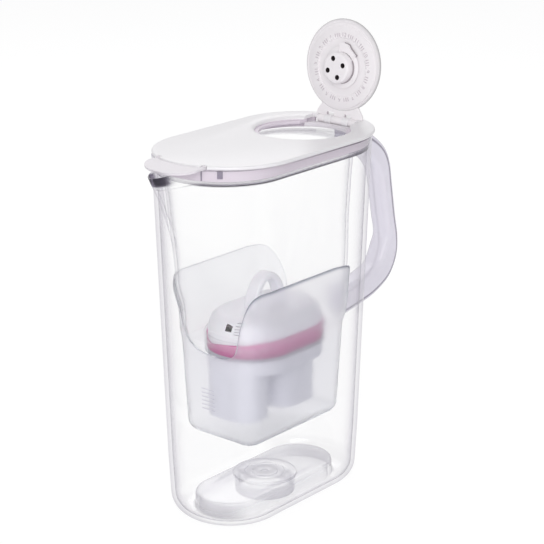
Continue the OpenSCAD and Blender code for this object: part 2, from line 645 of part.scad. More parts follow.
module dial_knob() {
    hub_z = flip_z - hub_h;
    collar_r = hub_r + 6;
    collar_t = 1.6;
    color([0.93, 0.91, 0.92]) swung() translate([dial_x, 0, 0]) difference() {
        union() {
            translate([0, 0, hub_z]) cylinder(r = hub_r, h = cover_low - gap - hub_z, $fn = n_round);
            translate([0, 0, hub_z + 1])
                cylinder(r = spindle_r, h = flip_z + flip_t / 2 - cap_t - hub_z - 1, $fn = n_round);
            rotate(pointer_angle) translate([0, 0, cover_low - ring_t - gap - collar_t]) {
                intersection() {
                    cylinder(r = collar_r, h = collar_t, $fn = n_round);
                    translate([0, -collar_r, 0]) rotate(8) cube([2 * collar_r, 2 * collar_r, collar_t]);
                }
                translate([collar_r - 3, -3, 0]) cube([5.6, 6, collar_t]);
            }
        }
        for (i = [0:3]) rotate(70 + 90 * i) translate([hub_r - 4, 0, hub_z - 1])
            cylinder(r = hub_hole_r, h = 5, $fn = n_round);
    }
}
module dial_retainer() {
    color([0.9, 0.88, 0.9]) swung() translate([dial_x, 0, cover_low + flip_t - cap_t])
        cylinder(r = cap_r, h = cap_t, $fn = n_round);
}

/* Spout flap: a level part at the lid's rounded edge, then a part that slopes to the beak's tip */
module spout_flap() {
    low = jug_h + flap_lift;
    reach = flap_bend - lid_front + flap_len;
    color([0.93, 0.91, 0.93]) difference() {
        union() {
            difference() {
                union() {
                    translate([flap_bend, -flap_half_w, low]) cube([flap_x - flap_bend, 2 * flap_half_w, flap_t]);
                    translate([flap_bend, 0, low + flap_t]) rotate([0, -flap_droop, 0])
                        translate([0, 0, -flap_t]) linear_extrude(height = flap_t)
                            polygon(concat([[0.1, flap_half_w]], [for (i = [0:40]) let (t = 90 + 180 * i / 40)
                                [reach * cos(t), flap_half_w * sin(t)]], [[0.1, -flap_half_w]]));
                }
                intersection() {
                    translate([nose_x, 0, low - 1]) cylinder(r = lid_b + 0.7, h = flap_t + 2, $fn = 4 * n_round);
                    translate([lid_front - 5, -flap_y0, low - 1]) cube([20, 2 * flap_y0, flap_t + 2]);
                }
            }
            y_pair(flap_x, flap_z, flap_r, flap_y0, flap_half_w);
        }
        y_rod(flap_x, flap_z, flap_pin_r + run, -flap_half_w - 1, flap_half_w + 1);
    }
}

jug_body();
jug_handle();
hopper_basin();
filter_chamber();
cartridge_body();
seal_ring();
cartridge_cap();
pull_loop();
inlet_screen();
media_front();
media_rear();
outlet_screens();
lid_cover();
lid_frame();
flip_hinge_pin();
flap_pin();
flip_cover();
number_ring();
dial_knob();
dial_retainer();
spout_flap();
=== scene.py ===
import bpy
import bmesh
import json
import math
import numpy as np
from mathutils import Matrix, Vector


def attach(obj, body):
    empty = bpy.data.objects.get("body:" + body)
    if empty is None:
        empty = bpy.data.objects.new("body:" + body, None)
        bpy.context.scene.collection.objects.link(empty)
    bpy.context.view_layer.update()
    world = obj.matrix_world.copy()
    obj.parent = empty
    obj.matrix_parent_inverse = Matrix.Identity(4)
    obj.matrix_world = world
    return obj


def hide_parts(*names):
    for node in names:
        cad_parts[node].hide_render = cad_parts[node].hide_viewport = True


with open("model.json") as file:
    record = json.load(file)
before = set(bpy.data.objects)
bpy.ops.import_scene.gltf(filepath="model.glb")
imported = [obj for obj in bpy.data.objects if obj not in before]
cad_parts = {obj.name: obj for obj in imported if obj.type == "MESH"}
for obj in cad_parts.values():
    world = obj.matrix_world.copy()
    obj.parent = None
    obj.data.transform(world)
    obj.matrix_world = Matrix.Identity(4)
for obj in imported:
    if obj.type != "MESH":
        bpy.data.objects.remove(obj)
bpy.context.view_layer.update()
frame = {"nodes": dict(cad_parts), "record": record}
bodyOf = {n: b for b, ns in frame["record"]["behaviour"]["bodies"].items() for n in ns}
mm = 0.001
crease = 35                                               # edges steeper than this stay sharp, in degrees
print("frame loaded")


def toLinear(hexColor):
    # sRGB to linear light: c / 12.92 near black, ((c + 0.055) / 1.055)^2.4 above.
    c = np.array([int(hexColor[i:i + 2], 16) for i in (1, 3, 5)]) / 255
    c = np.where(c <= 0.04045, c / 12.92, ((c + 0.055) / 1.055) ** 2.4)
    return tuple(c) + (1.0,)


def addNode(tree, kind, values=None, links=None, **settings):
    # One node with its settings, the fixed values of its inputs, and its links.
    n = tree.nodes.new(kind)
    for key, value in settings.items():
        setattr(n, key, value)
    for key, value in (values or {}).items():
        n.inputs[key].default_value = value
    for key, socket in (links or {}).items():
        tree.links.new(socket, n.inputs[key])
    return n


def newMaterial(name):
    # An empty node material and its tree.
    m = bpy.data.materials.new(name)
    m.use_nodes = True
    m.node_tree.nodes.clear()
    return m, m.node_tree


def fineBump(tree, coords, sizeMm, depthMm, detail=3.0):
    # Soft humps of the given size and depth.
    noise = addNode(tree, "ShaderNodeTexNoise",
                    {"Scale": 1 / (sizeMm * mm), "Detail": detail, "Roughness": 0.55}, {"Vector": coords})
    return addNode(tree, "ShaderNodeBump", {"Strength": 1.0, "Distance": depthMm * mm},
                   {"Height": noise.outputs["Fac"]})


def steepShare(tree, power):
    # 0 where the surface is seen square on and 1 at its outline: the facing share to a power.
    facing = addNode(tree, "ShaderNodeLayerWeight", {"Blend": 0.5}).outputs["Facing"]
    return addNode(tree, "ShaderNodeMath", {1: power}, {0: facing}, operation="POWER").outputs[0]


def glossShare(tree, square, inner=0.5):
    # Share of light that the surface mirrors, by Schlick's rule: square + (1 - square) (1 - cos)^5,
    # and less on the inner side of a wall, where the light has already entered the plastic.
    share = addNode(tree, "ShaderNodeMapRange", {"To Min": square, "To Max": 1.0},
                    {"Value": steepShare(tree, 5.0)}).outputs[0]
    back = addNode(tree, "ShaderNodeNewGeometry").outputs["Backfacing"]
    keep = addNode(tree, "ShaderNodeMapRange", {"To Min": 1.0, "To Max": inner}, {"Value": back}).outputs[0]
    return addNode(tree, "ShaderNodeMath", None, {0: share, 1: keep}, operation="MULTIPLY").outputs[0]


def milkyPart(tree, color):
    # Plastic full of fine scatterers: half of the light goes through it, half comes back.
    milk = addNode(tree, "ShaderNodeBsdfTranslucent", {"Color": toLinear(color)})
    face = addNode(tree, "ShaderNodeBsdfDiffuse", {"Color": toLinear(color)})
    return addNode(tree, "ShaderNodeMixShader", {0: 0.5}, {1: milk.outputs[0], 2: face.outputs[0]}).outputs[0]


def clearPlastic(name, face, edge, power, hazeColor="#e9e6f0", waves=0.02, shadeColor="#6c6478",
                 gloss=0.9, rough=0.03, reflect=0.035):
    # Injection-moulded SAN, glass clear: seen square on it takes almost no light, and towards its
    # outlines the long way through the plastic turns it lilac grey. The thick attribute paints shade
    # on rims, lines and ledges. The haze attribute says how milky it is.
    m, t = newMaterial(name)
    coords = addNode(t, "ShaderNodeTexCoord").outputs["Object"]
    flow = fineBump(t, coords, 34, waves, 1.0)            # slow flow waves of the melt, 34 mm apart
    cloud = addNode(t, "ShaderNodeTexNoise", {"Scale": 1 / (60 * mm), "Detail": 1.0}, {"Vector": coords})
    cloudy = addNode(t, "ShaderNodeMapRange", {"From Min": 0.3, "From Max": 0.7, "To Min": 0.9, "To Max": 1.1},
                     {"Value": cloud.outputs["Fac"]}).outputs[0]
    share = addNode(t, "ShaderNodeMath", None, {0: steepShare(t, power), 1: cloudy},
                    operation="MULTIPLY", use_clamp=True)
    tint = addNode(t, "ShaderNodeMix", {6: toLinear(face), 7: toLinear(edge)}, {0: share.outputs[0]},
                   data_type="RGBA")
    # Painted shade: the thick attribute darkens the plastic towards a dark lilac where shade falls
    thick = addNode(t, "ShaderNodeAttribute", attribute_name="thick").outputs["Fac"]
    tinted = addNode(t, "ShaderNodeMix", {7: toLinear(shadeColor)}, {0: thick, 6: tint.outputs[2]},
                     data_type="RGBA")
    through = addNode(t, "ShaderNodeBsdfTransparent", None, {"Color": tinted.outputs[2]})
    haze = addNode(t, "ShaderNodeAttribute", attribute_name="haze").outputs["Fac"]
    body = addNode(t, "ShaderNodeMixShader", None,
                   {0: haze, 1: through.outputs[0], 2: milkyPart(t, hazeColor)})
    shine = addNode(t, "ShaderNodeBsdfGlossy", {"Color": (gloss, gloss, gloss, 1), "Roughness": rough},
                    {"Normal": flow.outputs[0]})
    mix = addNode(t, "ShaderNodeMixShader", None, {0: glossShare(t, reflect), 1: body.outputs[0],
                                                   2: shine.outputs[0]})
    addNode(t, "ShaderNodeOutputMaterial", None, {"Surface": mix.outputs[0]})
    return m


def frostedPlastic(name, color, deep, rough, milkColor, haze, ior=1.16):
    # Thin moulded polypropylene with a spark-eroded surface: it blurs what stands behind it, the more
    # the further away that is, and lets the light through with a cool milky haze.
    m, t = newMaterial(name)
    coords = addNode(t, "ShaderNodeTexCoord").outputs["Object"]
    grain = fineBump(t, coords, 1.2, 0.01)                # eroded grain, drawn at 1.2 mm so it can show
    # Painted shade: the thick attribute darkens rims, the foot and the sides towards the deep colour
    thick = addNode(t, "ShaderNodeAttribute", attribute_name="thick").outputs["Fac"]
    share = addNode(t, "ShaderNodeMath", None, {0: steepShare(t, 5.0), 1: thick},
                    operation="ADD", use_clamp=True).outputs[0]
    tint = addNode(t, "ShaderNodeMix", {6: toLinear(color), 7: toLinear(deep)}, {0: share}, data_type="RGBA")
    blur = addNode(t, "ShaderNodeBsdfPrincipled", {"Transmission Weight": 1.0, "IOR": ior, "Roughness": rough},
                   {"Base Color": tint.outputs[2], "Normal": grain.outputs[0]})
    body = addNode(t, "ShaderNodeMixShader", {0: haze}, {1: blur.outputs[0], 2: milkyPart(t, milkColor)})
    # Shadows and scattered light pass straight through, so that what stands inside is lit
    path = addNode(t, "ShaderNodeLightPath")
    easy = addNode(t, "ShaderNodeMath", None,
                   {0: path.outputs["Is Shadow Ray"], 1: path.outputs["Is Diffuse Ray"]},
                   operation="MAXIMUM").outputs[0]
    pane = addNode(t, "ShaderNodeBsdfTransparent", None, {"Color": tint.outputs[2]})
    mix = addNode(t, "ShaderNodeMixShader", None, {0: easy, 1: body.outputs[0], 2: pane.outputs[0]})
    addNode(t, "ShaderNodeOutputMaterial", None, {"Surface": mix.outputs[0]})
    return m


def mouldedPlastic(name, color, shade, rough=0.32, grainMm=0.9, depthMm=0.012, sub=0.0):
    # Moulded white polypropylene or ABS: an even body colour with the faintest mottling of the melt,
    # a satin gloss, and a fine eroded grain. The groove attribute paints shade into edges and corners.
    m, t = newMaterial(name)
    coords = addNode(t, "ShaderNodeTexCoord").outputs["Object"]
    mottle = addNode(t, "ShaderNodeTexNoise", {"Scale": 1 / (22 * mm), "Detail": 3.0}, {"Vector": coords})
    tone = addNode(t, "ShaderNodeMix", {6: toLinear(color), 7: toLinear(shade)},
                   {0: mottle.outputs["Fac"]}, data_type="RGBA")
    dust = addNode(t, "ShaderNodeTexNoise", {"Scale": 1 / (3 * mm), "Detail": 2.0}, {"Vector": coords})
    gloss = addNode(t, "ShaderNodeMapRange", {"To Min": rough * 0.85, "To Max": rough * 1.2},
                    {"Value": dust.outputs["Fac"]}).outputs[0]
    bump = fineBump(t, coords, grainMm, depthMm)
    groove = addNode(t, "ShaderNodeAttribute", attribute_name="groove").outputs["Fac"]
    shadedTone = addNode(t, "ShaderNodeMix", {7: toLinear("#a9a8a8")}, {0: groove, 6: tone.outputs[2]},
                   data_type="RGBA")
    body = addNode(t, "ShaderNodeBsdfPrincipled", {"IOR": 1.49, "Subsurface Weight": sub,
                                                   "Subsurface Radius": (0.004, 0.003, 0.0035)},
                   {"Base Color": shadedTone.outputs[2], "Roughness": gloss, "Normal": bump.outputs[0]})
    addNode(t, "ShaderNodeOutputMaterial", None, {"Surface": body.outputs[0]})
    return m


def granules(name):
    # Filter filling: pale resin beads mixed with dark carbon grains, about 1 mm each.
    m, t = newMaterial(name)
    coords = addNode(t, "ShaderNodeTexCoord").outputs["Object"]
    cells = addNode(t, "ShaderNodeTexVoronoi", {"Scale": 1 / (1.1 * mm)}, {"Vector": coords})
    pick = addNode(t, "ShaderNodeSeparateColor", None, {0: cells.outputs["Color"]})
    ramp = addNode(t, "ShaderNodeValToRGB", None, {0: pick.outputs[0]})
    ramp.color_ramp.interpolation = "CONSTANT"
    ramp.color_ramp.elements[0].color = toLinear("#55535a")
    ramp.color_ramp.elements[1].color = toLinear("#8d8a90")
    ramp.color_ramp.elements[1].position = 0.45
    bump = addNode(t, "ShaderNodeBump", {"Strength": 0.8, "Distance": 0.4 * mm},
                   {"Height": cells.outputs["Distance"]})
    body = addNode(t, "ShaderNodeBsdfPrincipled", {"Roughness": 0.8},
                   {"Base Color": ramp.outputs[0], "Normal": bump.outputs[0]})
    addNode(t, "ShaderNodeOutputMaterial", None, {"Surface": body.outputs[0]})
    return m


def wovenMesh(name):
    # Woven polymer screen, threads 0.8 mm apart (drawn coarser than the real 0.15 mm so it shows).
    m, t = newMaterial(name)
    coords = addNode(t, "ShaderNodeTexCoord").outputs["Object"]
    warp, weft = [addNode(t, "ShaderNodeTexWave", {"Scale": 1 / (1.6 * mm) / 2}, {"Vector": coords},
                          bands_direction=way) for way in "XY"]
    high = addNode(t, "ShaderNodeMath", None, {0: warp.outputs["Fac"], 1: weft.outputs["Fac"]},
                   operation="MAXIMUM").outputs[0]
    tone = addNode(t, "ShaderNodeMix", {6: toLinear("#a9a9b0"), 7: toLinear("#e4e4e8")}, {0: high},
                   data_type="RGBA")
    bump = addNode(t, "ShaderNodeBump", {"Distance": 0.15 * mm}, {"Height": high})
    body = addNode(t, "ShaderNodeBsdfPrincipled", {"Roughness": 0.6},
                   {"Base Color": tone.outputs[2], "Normal": bump.outputs[0]})
    addNode(t, "ShaderNodeOutputMaterial", None, {"Surface": body.outputs[0]})
    return m


def drawnSteel(name):
    # Drawn stainless wire: fine lines along the pin.
    m, t = newMaterial(name)
    coords = addNode(t, "ShaderNodeTexCoord").outputs["Object"]
    squeeze = addNode(t, "ShaderNodeMapping", {"Scale": (4000, 60, 4000)}, {"Vector": coords})
    lines = addNode(t, "ShaderNodeTexNoise", {"Scale": 1.0, "Detail": 2.0}, {"Vector": squeeze.outputs[0]})
    rough = addNode(t, "ShaderNodeMapRange", {"To Min": 0.25, "To Max": 0.45}, {"Value": lines.outputs["Fac"]})
    tone = addNode(t, "ShaderNodeMix", {6: toLinear("#b4b4b8"), 7: toLinear("#d0d0d4")},
                   {0: lines.outputs["Fac"]}, data_type="RGBA")
    body = addNode(t, "ShaderNodeBsdfPrincipled", {"Metallic": 1.0},
                   {"Base Color": tone.outputs[2], "Roughness": rough.outputs[0]})
    addNode(t, "ShaderNodeOutputMaterial", None, {"Surface": body.outputs[0]})
    return m


sanClear = clearPlastic("clear SAN, jug", "#ffffff", "#c6c1cd", 4.5, hazeColor="#fbfaff")
sanHopper = clearPlastic("clear SAN, hopper", "#ffffff", "#cbc8d2", 6.0)
sanHandle = clearPlastic("clear SAN, handle", "#f6f5f9", "#a49eae", 3.0, waves=0.05, hazeColor="#fbf9ff")
ppFrosted = frostedPlastic("frosted polypropylene, chamber", "#fefeff", "#868b9c", 0.3, "#fbfaff", 0.09)
absWhite = mouldedPlastic("white ABS, lid", "#f0eef0", "#eceaec", 0.3)
absFlap = mouldedPlastic("white ABS, flap", "#e4dfe4", "#dfdadf", 0.35)
# Painted shade: the lid frame is white ABS, given a lilac grey for the shade it sits in behind the jug's rim
absFrameShade = mouldedPlastic("white ABS in shade, lid frame", "#e2d8e2", "#dcd2dc", 0.4)
absCover = mouldedPlastic("white ABS, flip cover", "#f5f1f3", "#f0ecee", 0.4)
absDial = mouldedPlastic("white ABS, dial", "#f6f2f4", "#f2eef0", 0.35)
absMark = mouldedPlastic("grey ABS, raised marks", "#cfc7cc", "#c9c1c6", 0.5)
# Painted shade: the catches are drawn dark grey for the shade they show behind the jug's wall
catchDark = mouldedPlastic("white ABS in shade, catches", "#8d8496", "#857c8e", 0.4)
ppCap = mouldedPlastic("natural polypropylene, cap", "#f6f4f9", "#f0eef4", 0.35, sub=0.2)
ppBody = mouldedPlastic("white polypropylene, cartridge", "#e7e7ee", "#e1e1e8", 0.45)
tpePink = mouldedPlastic("pink thermoplastic elastomer", "#e67eb8", "#e074b0", 0.5, 1.4, 0.02)
# Painted shade: a greyer tone for the bars that stand in for the inlet slots
slotShade = mouldedPlastic("frosted polypropylene in shade, slots", "#e2e0e8", "#dbd9e1", 0.5)
darkHole = mouldedPlastic("white ABS in deep shade, finger holes", "#382f34", "#30282c", 0.7)
ventShade = mouldedPlastic("polypropylene in shade, vent", "#5c5257", "#544a4f", 0.7)
gapShade = mouldedPlastic("white ABS in shade, gaps", "#a0999d", "#989195", 0.6)
ppLoop = mouldedPlastic("white polypropylene, pull loop", "#f6f5fa", "#f1eff5", 0.35, sub=0.2)
beads = granules("carbon grains and resin beads")
screen = wovenMesh("woven polymer screen")
steel = drawnSteel("drawn stainless steel")
print("materials made")


def softProfile(points, soft, steps=5):
    # Rounds the corners of a polyline: each corner becomes a quadratic Bezier curve from soft
    # before it to soft after it, at most 0.48 of the way to the next corner.
    p = np.array(points, float)
    r = np.broadcast_to(np.array(soft, float), (len(p),))[1:-1, None]
    a, b, c = p[:-2], p[1:-1], p[2:]
    la = np.linalg.norm(b[:, :3] - a[:, :3], axis=1)[:, None]
    lc = np.linalg.norm(c[:, :3] - b[:, :3], axis=1)[:, None]
    start = b + (a - b) * np.minimum(r / np.maximum(la, 1e-9), 0.48)
    end = b + (c - b) * np.minimum(r / np.maximum(lc, 1e-9), 0.48)
    s = np.linspace(0, 1, steps)[None, :, None]
    curve = (1 - s) ** 2 * start[:, None] + 2 * s * (1 - s) * b[:, None] + s * s * end[:, None]
    return np.concatenate([p[:1], curve.reshape(-1, p.shape[1]), p[-1:]])


def stadiumLoop(a, b, n=96):
    # Two half circles of radius b joined by straight sides: x = +-(a - b) + b cos t, y = b sin t.
    t = np.radians(np.linspace(-90, 90, n + 1))[None]
    x = np.concatenate([a - b + b * np.cos(t), b - a - b * np.cos(t)], 1)
    y = np.concatenate([b * np.sin(t), b * np.sin(-t)], 1)
    return x, y


def roundedLoop(x0, x1, b, r, corner=18, side=44, end=22):
    # A rectangle with round corners: four quarter circles of radius r joined by even steps.
    q = np.radians(np.linspace(0, 90, corner + 1))[None]
    e = (np.arange(1, end) / end)[None]
    s = (np.arange(1, side) / side)[None]
    one = np.ones_like(x0 + x1 + b + r)
    half = math.pi / 2

    def turn(cx, cy, at):
        return cx + r * np.cos(q + at), cy + r * np.sin(q + at)

    parts = [turn(x1 - r, r - b, -half), (x1 * one + 0 * e, (b - r) * (2 * e - 1)),
             turn(x1 - r, b - r, 0), (x1 - r + (x0 - x1 + 2 * r) * s, b * one + 0 * s),
             turn(x0 + r, b - r, half), (x0 * one + 0 * e, (b - r) * (1 - 2 * e)),
             turn(x0 + r, r - b, 2 * half), (x0 + r + (x1 - x0 - 2 * r) * s, -b * one + 0 * s)]
    return np.concatenate([p[0] for p in parts], 1), np.concatenate([p[1] for p in parts], 1)


def newObject(name, data):
    ob = bpy.data.objects.new(name, data)
    bpy.context.scene.collection.objects.link(ob)
    return ob


def buildMesh(name, verts, quads, caps, material, attributes, sharp):
    # A mesh from whole arrays: quads, then end caps of any number of points.
    mesh = bpy.data.meshes.new(name)
    mesh.vertices.add(len(verts))
    mesh.vertices.foreach_set("co", np.ascontiguousarray(verts, dtype=np.float32).ravel())
    loops = np.concatenate([quads.ravel(), *caps]).astype(np.int32)
    counts = np.array([4] * len(quads) + [len(f) for f in caps])
    starts = np.concatenate([[0], np.cumsum(counts)[:-1]]).astype(np.int32)
    mesh.loops.add(len(loops))
    mesh.loops.foreach_set("vertex_index", loops)
    mesh.polygons.add(len(counts))
    mesh.polygons.foreach_set("loop_start", starts)
    mesh.update(calc_edges=True)
    mesh.validate()
    for key, value in attributes.items():
        mesh.attributes.new(key, "FLOAT", "POINT").data.foreach_set("value", value.astype(np.float32))
    bm = bmesh.new()
    bm.from_mesh(mesh)
    bmesh.ops.remove_doubles(bm, verts=bm.verts, dist=2e-6)
    bmesh.ops.dissolve_degenerate(bm, edges=bm.edges, dist=1e-6)
    if bm.calc_volume(signed=True) < 0:                   # faces point outwards
        bmesh.ops.reverse_faces(bm, faces=bm.faces)
    bm.to_mesh(mesh)
    bm.free()
    mesh.polygons.foreach_set("use_smooth", np.full(len(mesh.polygons), True))
    mesh.set_sharp_from_angle(angle=math.radians(sharp))
    mesh.materials.append(material)
    return newObject(name, mesh)


def shell(name, x, y, z, material, loop=False, sharp=40, **marks):
    # A closed skin through m rings of n points each; flat ends close it, or it loops back. Marks are
    # the attributes that the materials read, one value for each ring or point.
    m, n = x.shape
    z = np.broadcast_to(z, x.shape)
    verts = np.stack([x, y, z], -1).reshape(-1, 3) * mm
    j = np.arange(m if loop else m - 1)[:, None]
    i = np.arange(n)[None]
    k, r = (j + 1) % m, (i + 1) % n
    quads = np.stack([j * n + i, j * n + r, k * n + r, k * n + i], -1).reshape(-1, 4)
    caps = [] if loop else [np.arange(n)[::-1], (m - 1) * n + np.arange(n)]
    marks = {key: np.broadcast_to(value, x.shape).ravel() for key, value in marks.items()}
    return buildMesh(name, verts, quads, caps, material, marks, sharp)


def turned(name, profile, center, material, n=96, **marks):
    # A profile of (radius, height) turned about the upright line through center.
    p = np.array(profile, float)
    t = np.radians(np.arange(n) * 360 / n)[None]
    x, y = center[0] + p[:, :1] * np.cos(t), center[1] + p[:, :1] * np.sin(t)
    return shell(name, x, y, p[:, 1:2] + 0 * t, material, sharp=crease, **marks)


def slab(name, outline, low, high, edge, material, steps=5):
    # A flat plate with quarter-round edges: at angle q the outline is pulled in by edge (1 - sin q),
    # at edge (1 - cos q) above the bottom, and the same below the top.
    p = np.array(outline, float)
    a, b = p - np.roll(p, 1, 0), np.roll(p, -1, 0) - p
    a, b = a / np.linalg.norm(a, axis=1)[:, None], b / np.linalg.norm(b, axis=1)[:, None]
    n = np.stack([-(a + b)[:, 1], (a + b)[:, 0]], -1)
    n = n / np.linalg.norm(n, axis=1)[:, None]
    mitre = 1 / np.maximum(0.6, np.abs((n * np.stack([-a[:, 1], a[:, 0]], -1)).sum(1)))
    q = np.radians(np.linspace(0, 90, steps))
    inset = np.concatenate([edge * (1 - np.sin(q)), (edge * (1 - np.sin(q)))[::-1]])[:, None]
    z = np.concatenate([low + edge * (1 - np.cos(q)), (high - edge * (1 - np.cos(q)))[::-1]])[:, None]
    x, y = p[:, 0] + n[:, 0] * mitre * inset, p[:, 1] + n[:, 1] * mitre * inset
    return shell(name, x, y, z + 0 * x, material, sharp=crease)


def upright(name, outline, y0, y1, edge, material):
    # A plate that stands along Y: its outline is in x and z.
    return moved(slab(name, outline, -y1, -y0, edge, material), [[1, 0, 0], [0, 0, -1], [0, 1, 0]])


def joined(name, parts):
    # Several closed shapes as one piece, each with its own materials.
    mesh = bpy.data.meshes.new(name)
    bm = bmesh.new()
    slots = []
    for part in parts:
        old = len(bm.faces)
        bm.from_mesh(part.data)
        bm.faces.ensure_lookup_table()
        first = len(slots)
        slots += list(part.data.materials)
        for f in bm.faces[old:]:
            f.material_index += first
    bm.to_mesh(mesh)
    bm.free()
    for m in slots:
        mesh.materials.append(m)
    for part in parts:
        bpy.data.objects.remove(part)
    mesh.set_sharp_from_angle(angle=math.radians(crease))
    return newObject(name, mesh)


def pointsOf(mesh):
    # The mesh's points, one row each.
    v = np.empty(len(mesh.vertices) * 3, dtype=np.float32)
    mesh.vertices.foreach_get("co", v)
    return v.reshape(-1, 3)


def moved(ob, turn=None, about=(0, 0, 0), shift=(0, 0, 0)):
    # Turns a mesh by a 3 x 3 matrix about a point and shifts it, in millimetres.
    v = pointsOf(ob.data) / mm - about
    if turn is not None:
        v = v @ np.array(turn).T
    ob.data.vertices.foreach_set("co", ((v + about + shift) * mm).astype(np.float32).ravel())
    ob.data.update()
    return ob


def block(name, low, high, material):
    # A box between two corners, as a loft of two rings.
    x = np.array([[low[0], high[0], high[0], low[0]]] * 2, float)
    y = np.array([[low[1], low[1], high[1], high[1]]] * 2, float)
    z = np.array([[low[2]] * 4, [high[2]] * 4], float)
    return shell(name, x, y, z, material)


def cutAway(ob, cutters):
    # Cuts closed shapes out of a piece; the cut's walls keep the cutter's material.
    for c in cutters:
        m = ob.modifiers.new("cut", "BOOLEAN")
        m.operation, m.solver, m.object = "DIFFERENCE", "EXACT", c
        m.material_mode = "TRANSFER"
    mesh = bpy.data.meshes.new_from_object(ob.evaluated_get(bpy.context.evaluated_depsgraph_get()))
    ob.modifiers.clear()
    old, ob.data = ob.data, mesh
    bpy.data.meshes.remove(old)
    for c in cutters:
        bpy.data.objects.remove(c)
    mesh.set_sharp_from_angle(angle=math.radians(crease))
    return ob


def place(ob, node):
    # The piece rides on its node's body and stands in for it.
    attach(ob, bodyOf[node])
    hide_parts(node)


def softCopy(node, name, material, width, segments=3, angle=30):
    # A copy of a CAD solid, with its triangles joined into flat faces and its edges rounded.
    bm = bmesh.new()
    bm.from_mesh(frame["nodes"][node].data)
    bmesh.ops.remove_doubles(bm, verts=bm.verts, dist=1e-6)
    bmesh.ops.dissolve_limit(bm, angle_limit=math.radians(0.5), verts=bm.verts, edges=bm.edges)
    mesh = bpy.data.meshes.new(name)
    bm.to_mesh(mesh)
    bm.free()
    mesh.materials.clear()
    mesh.materials.append(material)
    ob = newObject(name, mesh)
    bevel = ob.modifiers.new("soft edges", "BEVEL")
    bevel.width, bevel.segments = width * mm, segments
    bevel.limit_method, bevel.angle_limit = "ANGLE", math.radians(angle)
    bevel.use_clamp_overlap = True
    ob.modifiers.new("flat faces", "WEIGHTED_NORMAL").keep_sharp = True
    mesh.polygons.foreach_set("use_smooth", np.full(len(mesh.polygons), True))
    mesh.set_sharp_from_angle(angle=math.radians(angle))
    place(ob, node)


def dressNodes(nodes, material):
    # CAD solids that stay as they are and only get their material.
    for node in nodes:
        frame["nodes"][node].data.materials.clear()
        frame["nodes"][node].data.materials.append(material)


def step(v, low, high):
    # 0 below low, 1 above high, and s^2 (3 - 2 s) at share s between them.
    s = np.clip((v - low) / (high - low), 0, 1)
    return s * s * (3 - 2 * s)


jug = dict(height=245.0, rimLen=170.0, rimWidth=91.0, footLen=150.0, footWidth=80.0, wall=2.8, rimWall=1.5,
           ledge=234.7, baseRound=14.0, footRing=5.0, islandTop=13.0, bossR=21.5, bossRise=1.6,
           beakLen=22.0, beakHalf=15.0, beakDrop=57.0, beakDip=3.0, islandHaze=0.3)


def jugHalf(z):
    # Half length and half width of the outside: upright over the foot, then straight to the rim.
    heights = [0, jug["baseRound"], 40, jug["height"]]
    foot, side = jug["footLen"] / 2, jug["footWidth"] / 2
    return (np.interp(z, heights, [foot, foot, 76.63, jug["rimLen"] / 2]),
            np.interp(z, heights, [side, side, 40.9, jug["rimWidth"] / 2]))


def beakShare(y, z, inset):
    # The beak's bulge: height share k to the power 1.05, times a soft hump across its width, whose
    # half width grows from 5 mm at the bottom to beakHalf at the rim.
    k = np.clip((z - jug["height"] + jug["beakDrop"]) / jug["beakDrop"], 0, 1)
    w = 5 + (jug["beakHalf"] - 5 - inset) * k
    inside = np.clip(1 - (y / w) ** 2, 0, 1)
    return k ** 1.05 * inside ** 1.5


def nearShare(x, y):
    # 1 along the -Y side of the jug as far as its round rear end, 0 along the +Y side.
    return step(-y, 5, 20) * (1 - step(x, 59, 66))


def jugRows(rows):
    # Each row is a stadium of (half length, half width, height, inset of the wall, painted shade share,
    # haze share); the beak then pulls its front out and down. Rows with inset -5 belong to the foot.
    a, b, z, inset, thick, haze = [rows[:, i:i + 1] for i in range(6)]
    x, y = stadiumLoop(a, b, 128)
    beak = (x < 0) & (inset > -1)
    share = np.where(beak, beakShare(y, z, inset), 0)
    thin = np.where(beak & (z > 234), step(share, 0.1, 0.35), 0)
    thicker = np.where(inset == jug["rimWall"], jug["wall"] - jug["rimWall"], 0)
    x = x - jug["beakLen"] * share + thin * thicker
    zz = z - jug["beakDip"] * share * step(z, 222, 245)
    # Painted shadow under the flap: the beak's lip is made near black
    lip = step(z, 237.2, 239) * step(-np.abs(y), -7.5, -5) * np.where(beak, 1, 0)
    # Painted shade: the island darkens towards its ends, the line under the rim towards the rear, and
    # the ledge on the -Y side
    end = np.where((inset == -5) & (a > 30) & (z > 0.3) & (z < 13.1), 0.1 + 0.9 * step(np.abs(x), 40, 57), 1)
    line = np.where((inset == 0) & (z > 243.1) & (z < 244.1), step(x, -30, 40), 1)
    ledge = np.where((inset > 1) & (z > 233) & (z < 236), 0.25 + 0.75 * nearShare(x, y), 1)
    dark = thick * (1 - thin) * line * ledge * end + 0.95 * lip
    return x, y, zz, np.clip(dark, 0, 1), np.broadcast_to(haze, x.shape)


def wallRow(z, inset, thick=0.0):
    # A row of the wall at height z; footRow is one of the foot, t in from its outline, and discRow
    # a round one.
    a, b = jugHalf(z)
    return [a - inset, b - inset, z, inset, thick, 0.0]


def footRow(t, z, thick=0.0, haze=0.0):
    return [jug["footLen"] / 2 - t, jug["footWidth"] / 2 - t, z, -5, thick, haze]


def discRow(r, z, thick=0.0, haze=0.0):
    return [r, r, z, -5, thick, haze]


